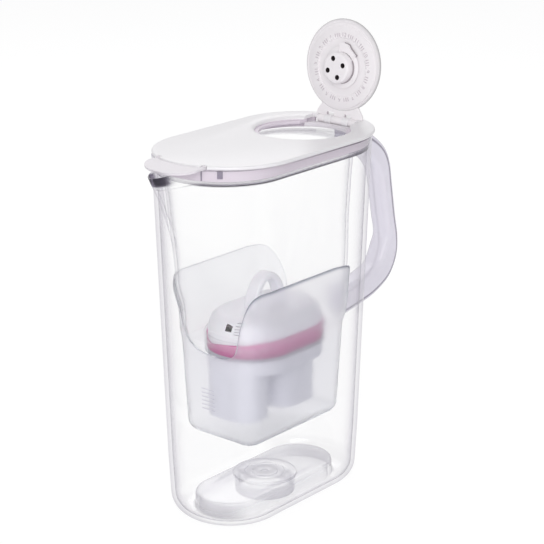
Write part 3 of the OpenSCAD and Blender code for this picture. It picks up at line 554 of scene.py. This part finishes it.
def makeJug():
    # One profile, carried round the stadium: underside, outside, rim, ledge, inside, island.
    f, wall, rimWall = jug["islandHaze"], jug["wall"], jug["rimWall"]
    ledge, island = jug["ledge"], jug["islandTop"]
    rise, bend, r = island + jug["bossRise"], jug["baseRound"], jug["bossR"]
    ring = bend + jug["footRing"]
    # The fifth figure of a row paints shade on the rounds of the foot and island, the rim, the line under it and
    # the ledge
    under = softProfile([discRow(0.02, rise - wall), discRow(17.8, rise - wall), discRow(17.8, 1.5, 0.1, f),
                         discRow(20.3, 1.5, 0.3, f), discRow(20.3, 10.2, 0.2, f), discRow(20.45, 10.2),
                         footRow(ring + 0.5, 10.2), footRow(ring + 0.3, 10.2), footRow(ring, 9.8, 0.05, f),
                         footRow(ring, 0.6, 0.1, 0.3 * f), footRow(ring - 0.6, 0), footRow(bend, 0)],
                        [0, 0.8, 0.6, 0.6, 0.1, 0.05, 0.05, 0.2, 0.3, 0.4, 0.4, 0])
    turn = np.radians(np.linspace(0, 90, 15))
    base = [footRow(bend * (1 - math.sin(t)), bend * (1 - math.cos(t)), 0.1 * math.sin(2 * t)) for t in turn]
    heights = np.concatenate([[30, 40, 70, 100, 130, 160, 180], np.arange(188, 242.5, 1.5)])
    outer = [wallRow(z, 0) for z in heights]
    outer += [wallRow(243.25, 0), wallRow(243.45, 0, 0.7), wallRow(244, 0, 0.7)]
    top = softProfile([wallRow(244.15, 0), wallRow(245, 0, 0.25), wallRow(245, rimWall, 0.25),
                       wallRow(244, rimWall)], [0, 0.6, 0.6, 0], 4)
    upper = [wallRow(z, rimWall) for z in np.arange(242.5, 235.5, -1.5)]
    seat = softProfile([wallRow(235.5, rimWall), wallRow(ledge, rimWall, 0.5), wallRow(ledge, wall, 0.7),
                        wallRow(233.6, wall)], [0, 0.3, 0.3, 0], 4)
    inner = [wallRow(z, wall) for z in heights[heights < 233][::-1]]
    fillet = [footRow(wall + (bend - wall) * (1 - math.sin(t)), wall + (bend - wall) * (1 - math.cos(t)))
              for t in turn[::-1]]
    raised = softProfile([footRow(bend, wall), footRow(16.2, wall, 0.45, 0.5 * f),
                          footRow(16.2, island, 0.3, f), footRow(19.2, island, 0, f),
                          footRow(24, island, 0, f), discRow(r + 0.4, island, 0, f),
                          discRow(r, island + 0.2, 0.2, f), discRow(r, rise, 0.1, f),
                          discRow(14, rise, 0.04, f), discRow(13.6, rise - 0.5, 0.1, f),
                          discRow(9, rise - 0.5, 0, f), discRow(8.6, rise, 0.1, f), discRow(2.6, rise, 0, f),
                          discRow(2.2, rise - 0.6, 0.15, f), discRow(0.02, rise - 0.6, 0, f)],
                         [0, 0.8, 3, 0.5, 0.5, 0.3, 0.2, 0.6, 0.2, 0.2, 0.2, 0.2, 0.2, 0.2, 0])
    rows = np.concatenate([under, base, outer, top, upper, seat, inner, fillet, raised])
    x, y, z, thick, haze = jugRows(rows)
    place(shell("jug_shell", x, y, z, sanClear, sharp=crease, thick=thick, haze=haze), "jug_body")


makeJug()
print("jug made")

handle = dict(width=16.0, reach=58.0, low=107.0, top=242.8, root=21.0, grip=10.0, sunk=1.6, round=4.5)


def smoothThrough(points, count):
    # Catmull-Rom curve at share t between points b and c, whose neighbours are a and d:
    # (2 b + (c - a) t + (2 a - 5 b + 4 c - d) t^2 + (3 b - a - 3 c + d) t^3) / 2.
    p = np.array(points, float)
    u = np.linspace(0, len(p) - 1, count)
    i = np.minimum(len(p) - 2, u.astype(int))
    t = (u - i)[:, None]
    a, b, c, d = p[np.maximum(0, i - 1)], p[i], p[i + 1], p[np.minimum(len(p) - 1, i + 2)]
    square, cube = 2 * a - 5 * b + 4 * c - d, 3 * b - a - 3 * c + d
    return 0.5 * (2 * b + (c - a) * t + square * t ** 2 + cube * t ** 3)


def makeHandle():
    # A bar carried between two outlines, the outer and the inner one, both smooth through points.
    low, top, grip, root, sunk = [handle[k] for k in ("low", "top", "grip", "root", "sunk")]
    rear = float(jugHalf(170)[0])
    out = rear + handle["reach"] - 0.3                    # the rearmost point of the grip
    span = top - low
    outerEdge = [[float(jugHalf(top)[0]) - sunk, top], [rear + 23, 232.5], [out - 19, 221], [out - 11.5, 209],
                 [out - 8, low + span * 0.63], [out - 3.5, low + span * 0.45], [out, low + 43],
                 [out - 1.5, low + 28], [out - 10, low + 15], [out - 27, low + 6.5], [rear + 12, low + 2.5],
                 [float(jugHalf(low)[0]) - sunk, low]]
    innerEdge = [[float(jugHalf(top)[0]) - sunk, top - 22], [rear + 14, top - 24], [out - 23 - grip, top - 31],
                 [out - 15 - grip, top - 40], [out - 11 - grip, low + span * 0.61],
                 [out - 6.5 - grip, low + span * 0.45], [out - grip - 3.5, low + 48],
                 [out - grip - 6, low + 41], [out - grip - 13, low + root + 8], [out - grip - 23, low + root + 4],
                 [rear + 11, low + root + 1], [float(jugHalf(low + root)[0]) - sunk, low + root]]
    o = smoothThrough(outerEdge, 150)
    i = smoothThrough(innerEdge, 150)
    mid, half = (o + i) / 2, np.linalg.norm(o - i, axis=1)[:, None] / 2
    away = (o - i) / (2 * half)
    # Section: a bar with well rounded corners, and a line of painted shade where the outer ones begin
    u, v = roundedLoop(-half, half, np.full_like(half, handle["width"] / 2),
                       np.minimum(handle["round"], 0.9 * half), 10, 24, 12)
    line = np.exp(-((half - u - 4.1) / 0.75) ** 2) * step(np.abs(v), 6.5, 7.8)
    x, z = mid[:, :1] + away[:, :1] * u, mid[:, 1:] + away[:, 1:] * u
    place(shell("handle_bar", x, v, z, sanHandle, sharp=60, thick=0.12 + 0.85 * line,
                haze=0.62 * (1 - 0.95 * line)), "jug_handle")


makeHandle()
print("handle made")

hopper = dict(thick=1.8, floor=117.0, shoulder=160.5, flange=234.7, flangeInset=1.8)
throat = dict(x=0.5, a=43.8, b=29.8, wall=1.2, low=108.0, top=121.0)
chamber = dict(x0=-52.0, x1=49.0, half=33.2, round=10.0, thick=1.6, gap=0.3, floor=52.5, foot=9.0, draft=0.04,
               low=112.0, slots=6, slotLow=73.2, slotStep=2.8)
jacket = chamber["thick"] + chamber["gap"]
# Height, front end, rear end, half width and corner radius of the basin's outside
basinTable = np.array([
    [117.0, -52 + jacket, 49 - jacket, 33.2 - jacket, 10],
    [124.0, -52, 50.5, 32.6, 12],
    [131.0, -53, 52.5, 33.6, 15],
    [138.0, -54.5, 54, 34.6, 18],
    [152.5, -59.5, 55.5, 36.3, 21],
    [168.5, -62.5, 58.5, 37.3, 26],
    [190.0, -67, 60, 38.3, 30],
    [215.0, -71.5, 63, 39.6, 34],
    [234.7, -76, 66, 41, 38]])


def basinLoop(z, inset):
    # A rounded rectangle whose sizes are read off the table at height z.
    cols = [np.interp(z, basinTable[:, 0], basinTable[:, k]) for k in range(1, 5)]
    return roundedLoop(cols[0] + inset, cols[1] - inset, cols[2] - inset, cols[3] - inset)


def ovalLoop(a, b, x):
    # Straight sides with nearly half-round ends, its middle at x.
    return roundedLoop(x - a, x + a, b, b - 0.01)


def makeBasin():
    # One closed profile: up inside the throat, over its top, out along the floor, up the wall, round
    # the flange, down the outside and back up to the throat.
    t, low, flange, wall = hopper["thick"], hopper["floor"], hopper["flange"], throat["wall"]
    outZ = np.concatenate([[low], np.linspace(low + 1.5, flange, 56)])[:, None]
    inZ = outZ[:-1]
    lift = t * (1 - (inZ - low) / (flange - low))         # the floor's thickness, fading out up the wall
    rows = []

    def addRows(loop, z, thick=0.0):
        rows.append(np.stack(np.broadcast_arrays(*loop, z, thick)))

    def throatLoop(inset):
        return ovalLoop(throat["a"] + inset, throat["b"] + inset, throat["x"])

    top = throat["top"]
    # The last figure of each row paints shade on the throat's top and the flange's rounded edge
    for inset, z, thick in ((0, throat["low"], 0.2), (0, top - 0.4, 0), (0.3, top, 0.1), (0.9, top, 0.1),
                            (wall, top - 0.4, 0), (wall, top - 1.4, 0), (2.0, low + t, 0)):
        addRows(throatLoop(inset), z, thick)
    addRows(basinLoop(inZ, t), inZ + lift)
    addRows(basinLoop(flange, t), flange + 1.3, 0.1)
    a, b = jugHalf(flange)
    for inset, z, thick in ((3.0, 2.0, 0.15), (0.4, 2.0, 0.3), (0.0, 1.6, 0.6), (0.0, 0.4, 0.9), (0.4, 0, 0.9),
                            (1.6, 0, 0.5)):
        inset = hopper["flangeInset"] + inset
        addRows(ovalLoop(a - inset, b - inset, 0.0), flange + z, thick)
    addRows(basinLoop(outZ[::-1], 0.0), outZ[::-1])
    addRows(throatLoop(wall), low)
    addRows(throatLoop(wall), throat["low"] + 0.3, 0.2)
    x, y, z, thick = np.concatenate(rows, axis=1)
    # Painted shade: the flange's edge is darker on the -Y side
    thick = np.where(z > flange - 0.1, thick * (0.3 + 0.7 * nearShare(x, y)), thick)
    place(shell("hopper_bowl", x, y, z, sanHopper, loop=True, thick=thick), "hopper_basin")


def makeChamber():
    # Outside and inside of an open box that flares into the basin's shape above its neckline.
    c = chamber
    top, joint = hopper["shoulder"], hopper["floor"]

    def boxLoop(z, inset):
        # The box's outline at height z: its walls lean in by the draft.
        d = c["draft"] * (joint - z) + inset
        return roundedLoop(c["x0"] + d, c["x1"] - d, c["half"] - d, c["round"] + jacket - inset)

    # U-shaped neckline: 1 / (1 + (3.8 (1 - w) / w)^1.9) of the way up at share w of the half width,
    # with the top corners rounded off by a quarter of an ellipse
    bx, by = boxLoop(c["low"], 0.0)
    w = np.clip(np.abs(by) / c["half"] * 1.004, 1e-3, 1)
    u = np.clip((bx - 27) / 22, 0, 1)
    peak = top - 7 * (1 - np.sqrt(1 - u * u))
    edge = c["low"] + (peak - c["low"]) / (1 + (3.8 * (1 - w) / w) ** 1.9)
    # Painted shade: the near flap's edge is darkest; of the far one mainly the bottom of its curve is darkened
    far = step(by, -8, 12)
    dark = 0.95 - 0.8 * far + 0.45 * far * (1 - step(edge, 118, 134))

    def flare(v, inset):
        # Ring at share v of the way up to the neckline: the box's outline below the joint with the
        # basin's floor, the basin's own above it.
        z = c["low"] + (edge - c["low"]) * v
        lowX, lowY = boxLoop(z.T.reshape(-1, 1), inset)
        upX, upY = basinLoop(z.T.reshape(-1, 1), inset - jacket)
        i = np.arange(z.shape[1])
        below = z[0] < joint
        x = np.where(below, lowX[i, i], upX[i, i])
        y = np.where(below, lowY[i, i], upY[i, i])
        return x[None], y[None], z

    def straight(z, inset):
        x, y = boxLoop(z, inset)
        return x, y, z + 0 * x

    def foot(inset, q):
        # Rounded foot: pulled in by r (1 - sin q) at height r (1 - cos q).
        r = c["foot"] - inset
        x, y = boxLoop(c["floor"] + c["foot"], inset + r * (1 - math.sin(q)))
        return x, y, c["floor"] + inset + r * (1 - math.cos(q)) + 0 * x

    def edgeDark(v):
        return 1.0 if v == 1 else 0.25 if v > 0.97 else 0.0

    # Painted shade on the foot's round and along the neckline's edge
    rows = [(foot(0.0, q), 0.22 * math.sin(2 * q) ** 2 if q < 1.2 else 0.02)
            for q in np.radians(np.linspace(4, 90, 16))]
    rows += [(straight(z, 0.0), 0.0) for z in (70.0, 85.0, 100.0, 111.0)]
    rows += [(flare(v, 0.0), edgeDark(v)) for v in np.linspace(0, 1, 22)]
    rows += [(flare(v, c["thick"]), edgeDark(v)) for v in np.linspace(1, 0, 22)]
    rows += [(straight(z, c["thick"]), 0.0) for z in (100.0, 85.0, 70.0)]
    rows += [(foot(c["thick"], q), 0.0) for q in np.radians(np.linspace(90, 4, 12))]
    x, y, z = [np.concatenate([ring[k] for ring, _ in rows]) for k in range(3)]
    thick = np.array([share for _, share in rows])[:, None]
    # Painted shade: the long sides are a little greyer than the front
    side = 0.06 * step(np.abs(y) / c["half"], 0.88, 0.95) * step(z, 60, 72)
    ob = shell("chamber_box", x, y, z, ppFrosted, sharp=50, thick=np.maximum(thick * dark, side))
    # Fine inlet slots in the front face, drawn as bars 0.5 mm high in a greyer tone as painted shade
    bars = []
    for i in range(c["slots"]):
        z = c["slotLow"] + c["slotStep"] * i
        face = c["x0"] + c["draft"] * (joint - z)
        bars.append(block("slot", (face - 0.05, 0.2, z), (face + 0.9, 11.2, z + 0.5), slotShade))
    place(joined("chamber_box", [ob] + bars), "filter_chamber")


makeBasin()
makeChamber()
print("hopper and chamber made")

cartridge = dict(x=0.5, a=43.5, b=29.5, seal=110.0, top=121.0, dome=135.0, domeRound=11.0, skin=1.4,
                 loopHalf=17.0, loopRise=27.0, loopThick=5.0, loopWidth=10.0, loopRound=2.0, loopSunk=5.0)


def cartLoop(inset):
    # The cartridge's outline, pulled in by inset.
    c = cartridge
    return roundedLoop(c["x"] - c["a"] + inset, c["x"] + c["a"] - inset, c["b"] - inset, c["b"] - inset - 0.01)


def capDrop(x, y):
    # How far the cap's rim reaches down over the seal round the front end, in mm.
    return np.interp(y, [-27, -17, -8, 3, 12, 20, 28], [0, 2, 2.7, 4, 6, 5, 0]) * step(-x, 5, 25)


def makeSeal():
    # A rounded band, squeezed from above where the cap's rim reaches down.
    low, top = cartridge["seal"], cartridge["top"]
    rows = softProfile([[3, low], [0, low], [0, top], [3, top]], [0, 0.6, 0.6, 0], 5)
    rows = np.concatenate([rows[:6], np.stack([np.zeros(8), np.linspace(112, 119.6, 8)], -1), rows[6:]])
    inset, z = rows[:, :1], rows[:, 1:]
    x, y = cartLoop(inset)
    z = low + (z - low) * (1 - capDrop(x, y) / (top - low))
    place(shell("cartridge_seal", x, y, z, tpePink, True, 40), "seal_ring")


def makeCap():
    # A shell with a quarter-round shoulder; its rim grips the seal from inside and above.
    c = cartridge
    low, top, front = c["seal"], c["top"], c["x"] - c["a"]
    q = np.radians(np.linspace(0, 90, 14))[:, None]

    def domeRows(inset):
        r = c["domeRound"] - inset
        return 1.3 + inset + r * (1 - np.cos(q)), c["dome"] - inset - r * (1 - np.sin(q))

    outIn, outZ = domeRows(0.0)
    inIn, inZ = domeRows(c["skin"])
    rim = softProfile([[inIn[0, 0], inZ[0, 0]], [4.4, top], [4.4, low], [3, low], [3, top], [0.8, top],
                       [0.8, top + 2.2], [outIn[0, 0], outZ[0, 0]]], [0, 0.3, 0.3, 0.3, 0.3, 0.4, 0.4, 0], 4)
    inset = np.concatenate([[[28.6]], inIn[::-1], rim[:, :1], outIn, [[28.6]]])
    z = np.concatenate([inZ[-1:], inZ[::-1], rim[:, 1:], outZ, outZ[-1:]])
    x, y = cartLoop(inset)
    z = z - np.where((inset < 3.05) & (z > top - 1.5) & (z < top + 1), capDrop(x, y), 0)
    ob = shell("cartridge_dome", x, y, z, ppCap)
    cuts = [block("window", (front, -6, 127), (front + 4.2, -1.2, 131.5), ventShade)]
    cuts += [block("slit", (front, -11.6, 125.4 + 1.7 * i), (front + 9, -7.6, 125.9 + 1.7 * i), ppCap)
             for i in range(5)]
    place(cutAway(ob, cuts), "cartridge_cap")


def makeLoop():
    # A rounded bar bent into half an ellipse whose middle lies loopSunk under the dome's top.
    c = cartridge
    start = math.asin(c["loopSunk"] / c["loopRise"])
    t = np.linspace(start, math.pi - start, 60)[:, None]

    def arc(shrink):
        return (c["loopHalf"] - shrink) * np.cos(t), (c["loopRise"] - shrink) * np.sin(t)

    ox, oz = arc(0)
    ix, iz = arc(c["loopThick"])
    midX, midZ, half = (ox + ix) / 2, (oz + iz) / 2, np.hypot(ox - ix, oz - iz) / 2
    ux, uz = (ox - ix) / (2 * half), (oz - iz) / (2 * half)
    u, v = roundedLoop(-half, half, np.full_like(half, c["loopWidth"] / 2), np.full_like(half, c["loopRound"]),
                       6, 2, 2)
    x, z = c["x"] + midX + ux * u, c["dome"] - c["loopSunk"] + midZ + uz * u
    place(shell("cartridge_loop", x, v, z, ppLoop, sharp=50), "pull_loop")


makeCap()
makeLoop()
softCopy("cartridge_body", "cartridge_housing", ppBody, 0.5)
makeSeal()
dressNodes(("inlet_screen", "outlet_screens"), screen)
dressNodes(("media_front", "media_rear"), beads)
print("cartridge made")

lid = dict(x=1.35, a=84.85, b=48.2, low=245.0, top=247.5, edge=1.1, holeX=39.0, holeR=31.8, dishR=36.6,
           hingeX=76.8, hingeZ=244.5, lugR=3.4, slotY=19.6, swing=95.75)
cover = dict(r=31.0, low=244.8, top=247.2, barrelR=3.0, hubR=10.5, hubZ=237.0, dialX=40.5, holeR=1.75,
             figures=4.0, figureR=21.7, ribs=60)


def circleArc(cx, cz, r, start, stop, count=16):
    # Points on a circle, with the angles in degrees.
    t = np.radians(np.linspace(start, stop, count))
    return [[cx + r * math.cos(v), cz + r * math.sin(v)] for v in t]


def makeLid():
    # A stadium plate with its dish, slots and notches cut out, and the lugs and pocket of the hinge.
    d = lid
    x, y = stadiumLoop(np.array([[d["a"]]]), np.array([[d["b"]]]), 96)
    outline = np.stack([x[0] + d["x"], y[0]], -1)
    plate = slab("lid_plate", outline, d["low"], d["top"], d["edge"], absWhite, 7)
    # Dish round the refill hole: straight up, then a quarter-ellipse that meets the lid's top
    q = np.radians(np.linspace(0, 90, 10))
    dish = [[0.01, 244], [d["holeR"], 244], [d["holeR"], 245.2]]
    flare = d["dishR"] - d["holeR"] + 0.4
    dish += [[d["holeR"] + flare * (1 - math.cos(v)), 245.2 + 2.3 * math.sin(v)] for v in q[1:]]
    dish += [[d["dishR"] + 0.6, 250], [0.01, 250]]
    cuts = [turned("dish", dish, (d["holeX"], 0), absWhite, 160)]
    cuts.append(block("slot", (39, -d["slotY"], 243), (75.1, d["slotY"], 250), absWhite))
    cuts.append(block("slot", (60, -4.7, 243), (80.3, 4.7, 250), absWhite))
    for side in (-1, 1):
        y0, y1 = sorted((side * 10.3, side * 16.3))
        cuts.append(block("slot", (60, y0, 243), (80.3, y1, 250), absWhite))
        y0, y1 = sorted((side * 17.0, side * 20.8))
        cuts.append(block("notch", (-90, y0, 243), (-77.15, y1, 250), absWhite))
    cutAway(plate, cuts)
    lug = [[81.4, 245.6], [81.4, 247.3]] + circleArc(d["hingeX"], d["hingeZ"], d["lugR"], 76, 262)
    lug += [[80.9, 241.6], [80.9, 245.6]]
    lugs = [upright("lug", lug, low, high, 0.5, absWhite) for low, high in ((-10.25, -4.75), (4.75, 10.25))]
    # Floor of the hinge pocket, with its front edge on the round of the refill hole
    front = np.radians(np.linspace(-36.5, 36.5, 30))
    reach = d["holeR"] + 0.4
    floorLine = np.stack([d["holeX"] + reach * np.cos(front), reach * np.sin(front)], -1)
    floorLine = np.concatenate([floorLine * [1, 1.02], [[80.9, 19.6], [80.9, -19.6]]])
    pocket = slab("pocket", floorLine[::-1], 239.9, 240.9, 0.3, absFlap)
    apronLine = np.concatenate([floorLine[:30], [[73.3, 19.3], [73.3, -19.3]]])
    apron = slab("apron", apronLine[::-1], 240.2, 242.9, 0.35, absFlap)
    place(joined("lid_plate", [plate, pocket, apron] + lugs), "lid_cover")


def makeCatches():
    # A snap tab and a fine rib on the outside of the skirt, on its round front end, both dark grey as painted
    # shade
    parts = []
    for start, stop, low, high in ((216, 220.5, 239.6, 244.4), (202.6, 203.5, 238, 244.6)):
        outer = circleArc(-39.5, 0, 43.9, start, stop, 6)
        inner = circleArc(-39.5, 0, 43.3, stop, start, 6)
        parts.append(slab("catch", outer + inner, low, high, 0.1, catchDark))
    ob = joined("skirt_catches", parts)
    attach(ob, bodyOf["lid_frame"])


def swungOpen(ob):
    # A closed piece turned about the hinge's axis.
    a = math.radians(lid["swing"])
    return moved(ob, [[math.cos(a), 0, math.sin(a)], [0, 1, 0], [-math.sin(a), 0, math.cos(a)]],
                 (lid["hingeX"], 0, lid["hingeZ"]))


def makeFlipCover():
    # All drawn closed, then swung open about the hinge.
    c, hx, hz = cover, lid["hingeX"], lid["hingeZ"]
    r, low, top = c["r"], c["low"], c["top"]
    # Painted shade: the third figure darkens the fine groove, the disc's round edge and the hub's recess
    rows = [[0.01, low, 0], [27.9, low, 0], [28.2, 244.95, 0.1], [28.9, 244.95, 0.1], [29.2, low, 0],
            [30.2, low, 0.25], [r, 245.4, 0.8], [r, 246.5, 0.8], [30.3, top, 0.2], [6.4, top, 0],
            [6.3, 245.9, 0.4], [0.01, 245.9, 0]]
    rows = softProfile(rows, [0, 0.2, 0.2, 0.2, 0.2, 0.5, 0.5, 0.5, 0.5, 0.2, 0.2, 0], 4)
    disc = turned("disc", rows[:, :2], (lid["holeX"], 0), absCover, 160, groove=rows[:, 2:])
    # Neck: its sides sweep out from 13 mm at the disc to 19.3 mm at the hinge, with two windows in it
    side = smoothThrough([[62, 13.0], [63.5, 13.5], [65, 14.6], [68.5, 17.0], [71.2, 18.9], [73.4, 19.3]], 24)
    outline = np.concatenate([side * [1, -1], [[74.2, -18.6], [74.2, 18.6]], side[::-1]])
    neck = slab("neck", outline, 245.2, top - 0.12, 0.45, absCover)
    # The windows' cut walls take the grey of the raised marks, as painted shade
    cutAway(neck, [block("window", (71.7, y0, 243), (76, y1, 249), absMark)
                   for y0, y1 in ((-10.4, -4.6), (4.6, 10.4))])
    arm = [[70, 245.45]] + circleArc(hx, hz, c["barrelR"] - 0.05, 166, 448, 28) + [[73, 246.95], [70, 246.95]]
    arms = [upright("arm", arm, y0, y1, 0.35, absCover)
            for y0, y1 in ((-16, -10.45), (-4.55, 4.55), (10.45, 16))]
    place(swungOpen(joined("flip_disc", [disc, neck] + arms)), "flip_cover")


def makeNumberRing():
    # A flat ring with rounded edges, fine ribs round its inner edge, and the figures 1 to 12. A rib
    # stands 0.45 (0.5 + 0.5 cos(ribs t))^2 mm proud at angle t.
    c = cover
    r = np.array([19.5, 19.5, 19.7, 20.2, 21.4, 21.6, 27.2, 27.5, 27.5])[:, None]
    z = np.array([244.8, 244.5, 244.3, 244.3, 244.3, 244.3, 244.3, 244.5, 244.8])[:, None]
    t = np.radians(np.arange(432) * 360 / 432)[None]
    rib = np.array([0, 0, 0, 1, 1, 0, 0, 0, 0])[:, None] * 0.45 * (0.5 + 0.5 * np.cos(c["ribs"] * t)) ** 2
    x, y = c["dialX"] + r * np.cos(t), r * np.sin(t)
    figures = [shell("ring", x, y, z + 0 * t - rib, absCover, True, 30)]
    for k in range(12):
        curve = bpy.data.curves.new("figure", "FONT")
        curve.body, curve.size, curve.extrude = str(k + 1), c["figures"], 0.15
        curve.align_x, curve.align_y, curve.resolution_u = "CENTER", "CENTER", 3
        text = newObject("figure", curve)
        mesh = bpy.data.meshes.new_from_object(text.evaluated_get(bpy.context.evaluated_depsgraph_get()))
        bpy.data.objects.remove(text)
        mesh.materials.clear()
        mesh.materials.append(absMark)
        # Face down, top outwards at the angle of its month; the curve's units are millimetres
        a = math.radians(180 - 30 * (k + 1))
        out, across = np.array([math.cos(a), math.sin(a), 0]), np.array([-math.sin(a), math.cos(a), 0])
        v = pointsOf(mesh)
        v = v[:, :1] * across + v[:, 1:2] * out + v[:, 2:] * [0, 0, -1]
        v = v + out * c["figureR"] + [c["dialX"], 0, 244.25]
        mesh.vertices.foreach_set("co", (v * mm).astype(np.float32).ravel())
        figures.append(newObject("figure", mesh))
    # Three raised strokes between each figure and the next, 2.6 mm long
    for k in range(12):
        for off in (10.5, 15, 19.5):
            a = math.radians(30 * k + off)
            turnBy = [[math.cos(a), -math.sin(a), 0], [math.sin(a), math.cos(a), 0], [0, 0, 1]]
            bar = block("stroke", (20.4, -0.24, 244.0), (23.0, 0.24, 244.5), absMark)
            figures.append(moved(bar, turnBy, shift=(c["dialX"], 0, 0)))
    place(swungOpen(joined("month_ring", figures)), "number_ring")


def makeDial():
    # A hub with four finger holes on a round collar, with its pointer tab and the gaps round both.
    c = cover
    hubR, hubZ, middle = c["hubR"], c["hubZ"], (c["dialX"], 0)
    rows = [[0.01, hubZ], [8.6, hubZ], [10.1, hubZ + 0.35], [hubR, hubZ + 1.6], [hubR, 244.5], [0.01, 244.5]]
    hub = turned("hub", softProfile(rows, [0, 0.6, 0.8, 0.8, 0.2, 0]), middle, absDial)
    hole = [[0.01, 235], [c["holeR"], 235], [c["holeR"], 241], [0.01, 241]]
    cuts = []
    for i in range(4):
        a = math.radians(70 + 90 * i)
        at = (c["dialX"] + 6.5 * math.cos(a), 6.5 * math.sin(a))
        cuts.append(turned("finger hole", hole, at, darkHole, 24))
    cutAway(hub, cuts)
    rows = [[0.01, 242.8], [10.4, 242.8], [14.2, 243.85], [14.2, 244.0], [0.01, 244.0]]
    collar = turned("collar", softProfile(rows, [0, 0.2, 0.1, 0.1, 0]), middle, absDial)

    def polar(points):
        # Points of (angle, radius): 0 degrees lies on the -Y side and 90 is up on the open cover.
        p = np.array(points, float)
        a = np.radians(270 - p[:, 0])
        return np.stack([c["dialX"] + p[:, 1] * np.cos(a), p[:, 1] * np.sin(a)], -1)

    # Shadow gap at the foot of the knob, widest at one side, and the pointer tab with its own gap
    t = np.linspace(-82, 84, 40)
    gap = np.concatenate([np.stack([t, 10.45 + 1.0 * np.cos(np.radians(t)) ** 0.5], -1),
                          np.stack([t[::-1], np.full(40, 10.3)], -1)])
    gap = slab("gap", polar(gap)[::-1], 242.5, 243.3, 0.05, gapShade)
    corner = [[100, 9], [97, 16.3], [85, 16.6], [71, 16.5], [60, 14.8], [38, 14.9], [28, 9.5]]
    tab = slab("tab", polar(corner)[::-1], 242.5, 244.0, 0.3, absDial)
    under = [[86, 9], [85, 17.0], [70.5, 17.0], [59, 15.3], [37, 15.4], [27, 9.8]]
    under = slab("tab gap", polar(under)[::-1], 243.75, 244.25, 0.05, gapShade)
    place(swungOpen(joined("dial_hub", [hub, collar, gap, tab, under])), "dial_knob")


makeLid()
makeFlipCover()
makeNumberRing()
makeDial()
softCopy("lid_frame", "lid_skirt", absFrameShade, 0.25, 2)
makeCatches()
softCopy("spout_flap", "flap_plate", absFlap, 0.4)
softCopy("dial_retainer", "dial_cap", absCover, 0.25)
dressNodes(("flip_hinge_pin", "flap_pin"), steel)
print("lid made")

studio = dict(world=0.5, worldTint=(0.98, 0.98, 1, 1), paper="#f4f4f6", glow=0.89, floorHalf=6.0)
lamps = {"front softbox": dict(at=(-1.1, -0.8, 0.75), aim=(-0.02, 0, 0.2), size=1.0, watts=11),
         "rear softbox": dict(at=(0.8, 0.9, 1.2), aim=(0, 0, 0.2), size=1.2, watts=6)}
camera = dict(at=(-0.875545, -0.740154, 0.527442), look=(0.72922, 0.61117, -0.30774), sensor=36,
              focal=1831.33 / 544)                        # the focal length in widths of the picture


def shownShare(tree):
    # 1 on rays that show the backdrop itself: to the camera, in gloss and through plastic.
    path = addNode(tree, "ShaderNodeLightPath")
    one = addNode(tree, "ShaderNodeMath", None,
                  {0: path.outputs["Is Camera Ray"], 1: path.outputs["Is Glossy Ray"]}, operation="MAXIMUM")
    return addNode(tree, "ShaderNodeMath", None,
                   {0: one.outputs[0], 1: path.outputs["Is Transmission Ray"]}, operation="MAXIMUM").outputs[0]


def makeStage():
    # A white world and a white paper floor, which keeps the object's faint shadow.
    world = bpy.data.worlds.new("studio")
    bpy.context.scene.world = world
    world.use_nodes = True
    t = world.node_tree
    t.nodes.clear()
    light = addNode(t, "ShaderNodeBackground", {"Color": studio["worldTint"], "Strength": studio["world"]})
    white = addNode(t, "ShaderNodeBackground", {"Color": (1, 1, 1, 1), "Strength": 1.0})
    mix = addNode(t, "ShaderNodeMixShader", None, {0: shownShare(t), 1: light.outputs[0], 2: white.outputs[0]})
    addNode(t, "ShaderNodeOutputWorld", None, {"Surface": mix.outputs[0]})
    m, t = newMaterial("white paper sweep")
    paper = addNode(t, "ShaderNodeBsdfDiffuse", {"Color": toLinear(studio["paper"])})
    faint = addNode(t, "ShaderNodeBsdfDiffuse", {"Color": (0.16, 0.16, 0.16, 1)})
    glow = addNode(t, "ShaderNodeEmission", {"Color": (1, 1, 1, 1), "Strength": studio["glow"]})
    both = addNode(t, "ShaderNodeAddShader", None, {0: faint.outputs[0], 1: glow.outputs[0]})
    mix = addNode(t, "ShaderNodeMixShader", None, {0: shownShare(t), 1: paper.outputs[0], 2: both.outputs[0]})
    addNode(t, "ShaderNodeOutputMaterial", None, {"Surface": mix.outputs[0]})
    mesh = bpy.data.meshes.new("floor")
    s = studio["floorHalf"]
    mesh.from_pydata([(-s, -s, 0), (s, -s, 0), (s, s, 0), (-s, s, 0)], [], [(0, 1, 2, 3)])
    mesh.materials.append(m)
    newObject("floor", mesh)


def aimed(ob, at, look):
    # Stands at a point and looks along a direction.
    ob.location = at
    ob.rotation_mode = "QUATERNION"
    ob.rotation_quaternion = Vector(look).to_track_quat("-Z", "Y")


def areaLamp(name, at, aim, size, watts):
    data = bpy.data.lights.new(name, "AREA")
    data.size, data.energy = size, watts
    aimed(newObject(name, data), at, Vector(aim) - Vector(at))


def makeCamera():
    data = bpy.data.cameras.new("camera")
    data.sensor_width, data.lens = camera["sensor"], camera["focal"] * camera["sensor"]
    ob = newObject("camera", data)
    aimed(ob, camera["at"], camera["look"])
    bpy.context.scene.camera = ob


makeStage()
for lampName, values in lamps.items():
    areaLamp(lampName, **values)
makeCamera()
scene = bpy.context.scene
scene.view_settings.view_transform = "Standard"
scene.cycles.transparent_max_bounces = 48
scene.cycles.max_bounces = 20
scene.cycles.transmission_bounces = 16
print("stage, light and camera made")
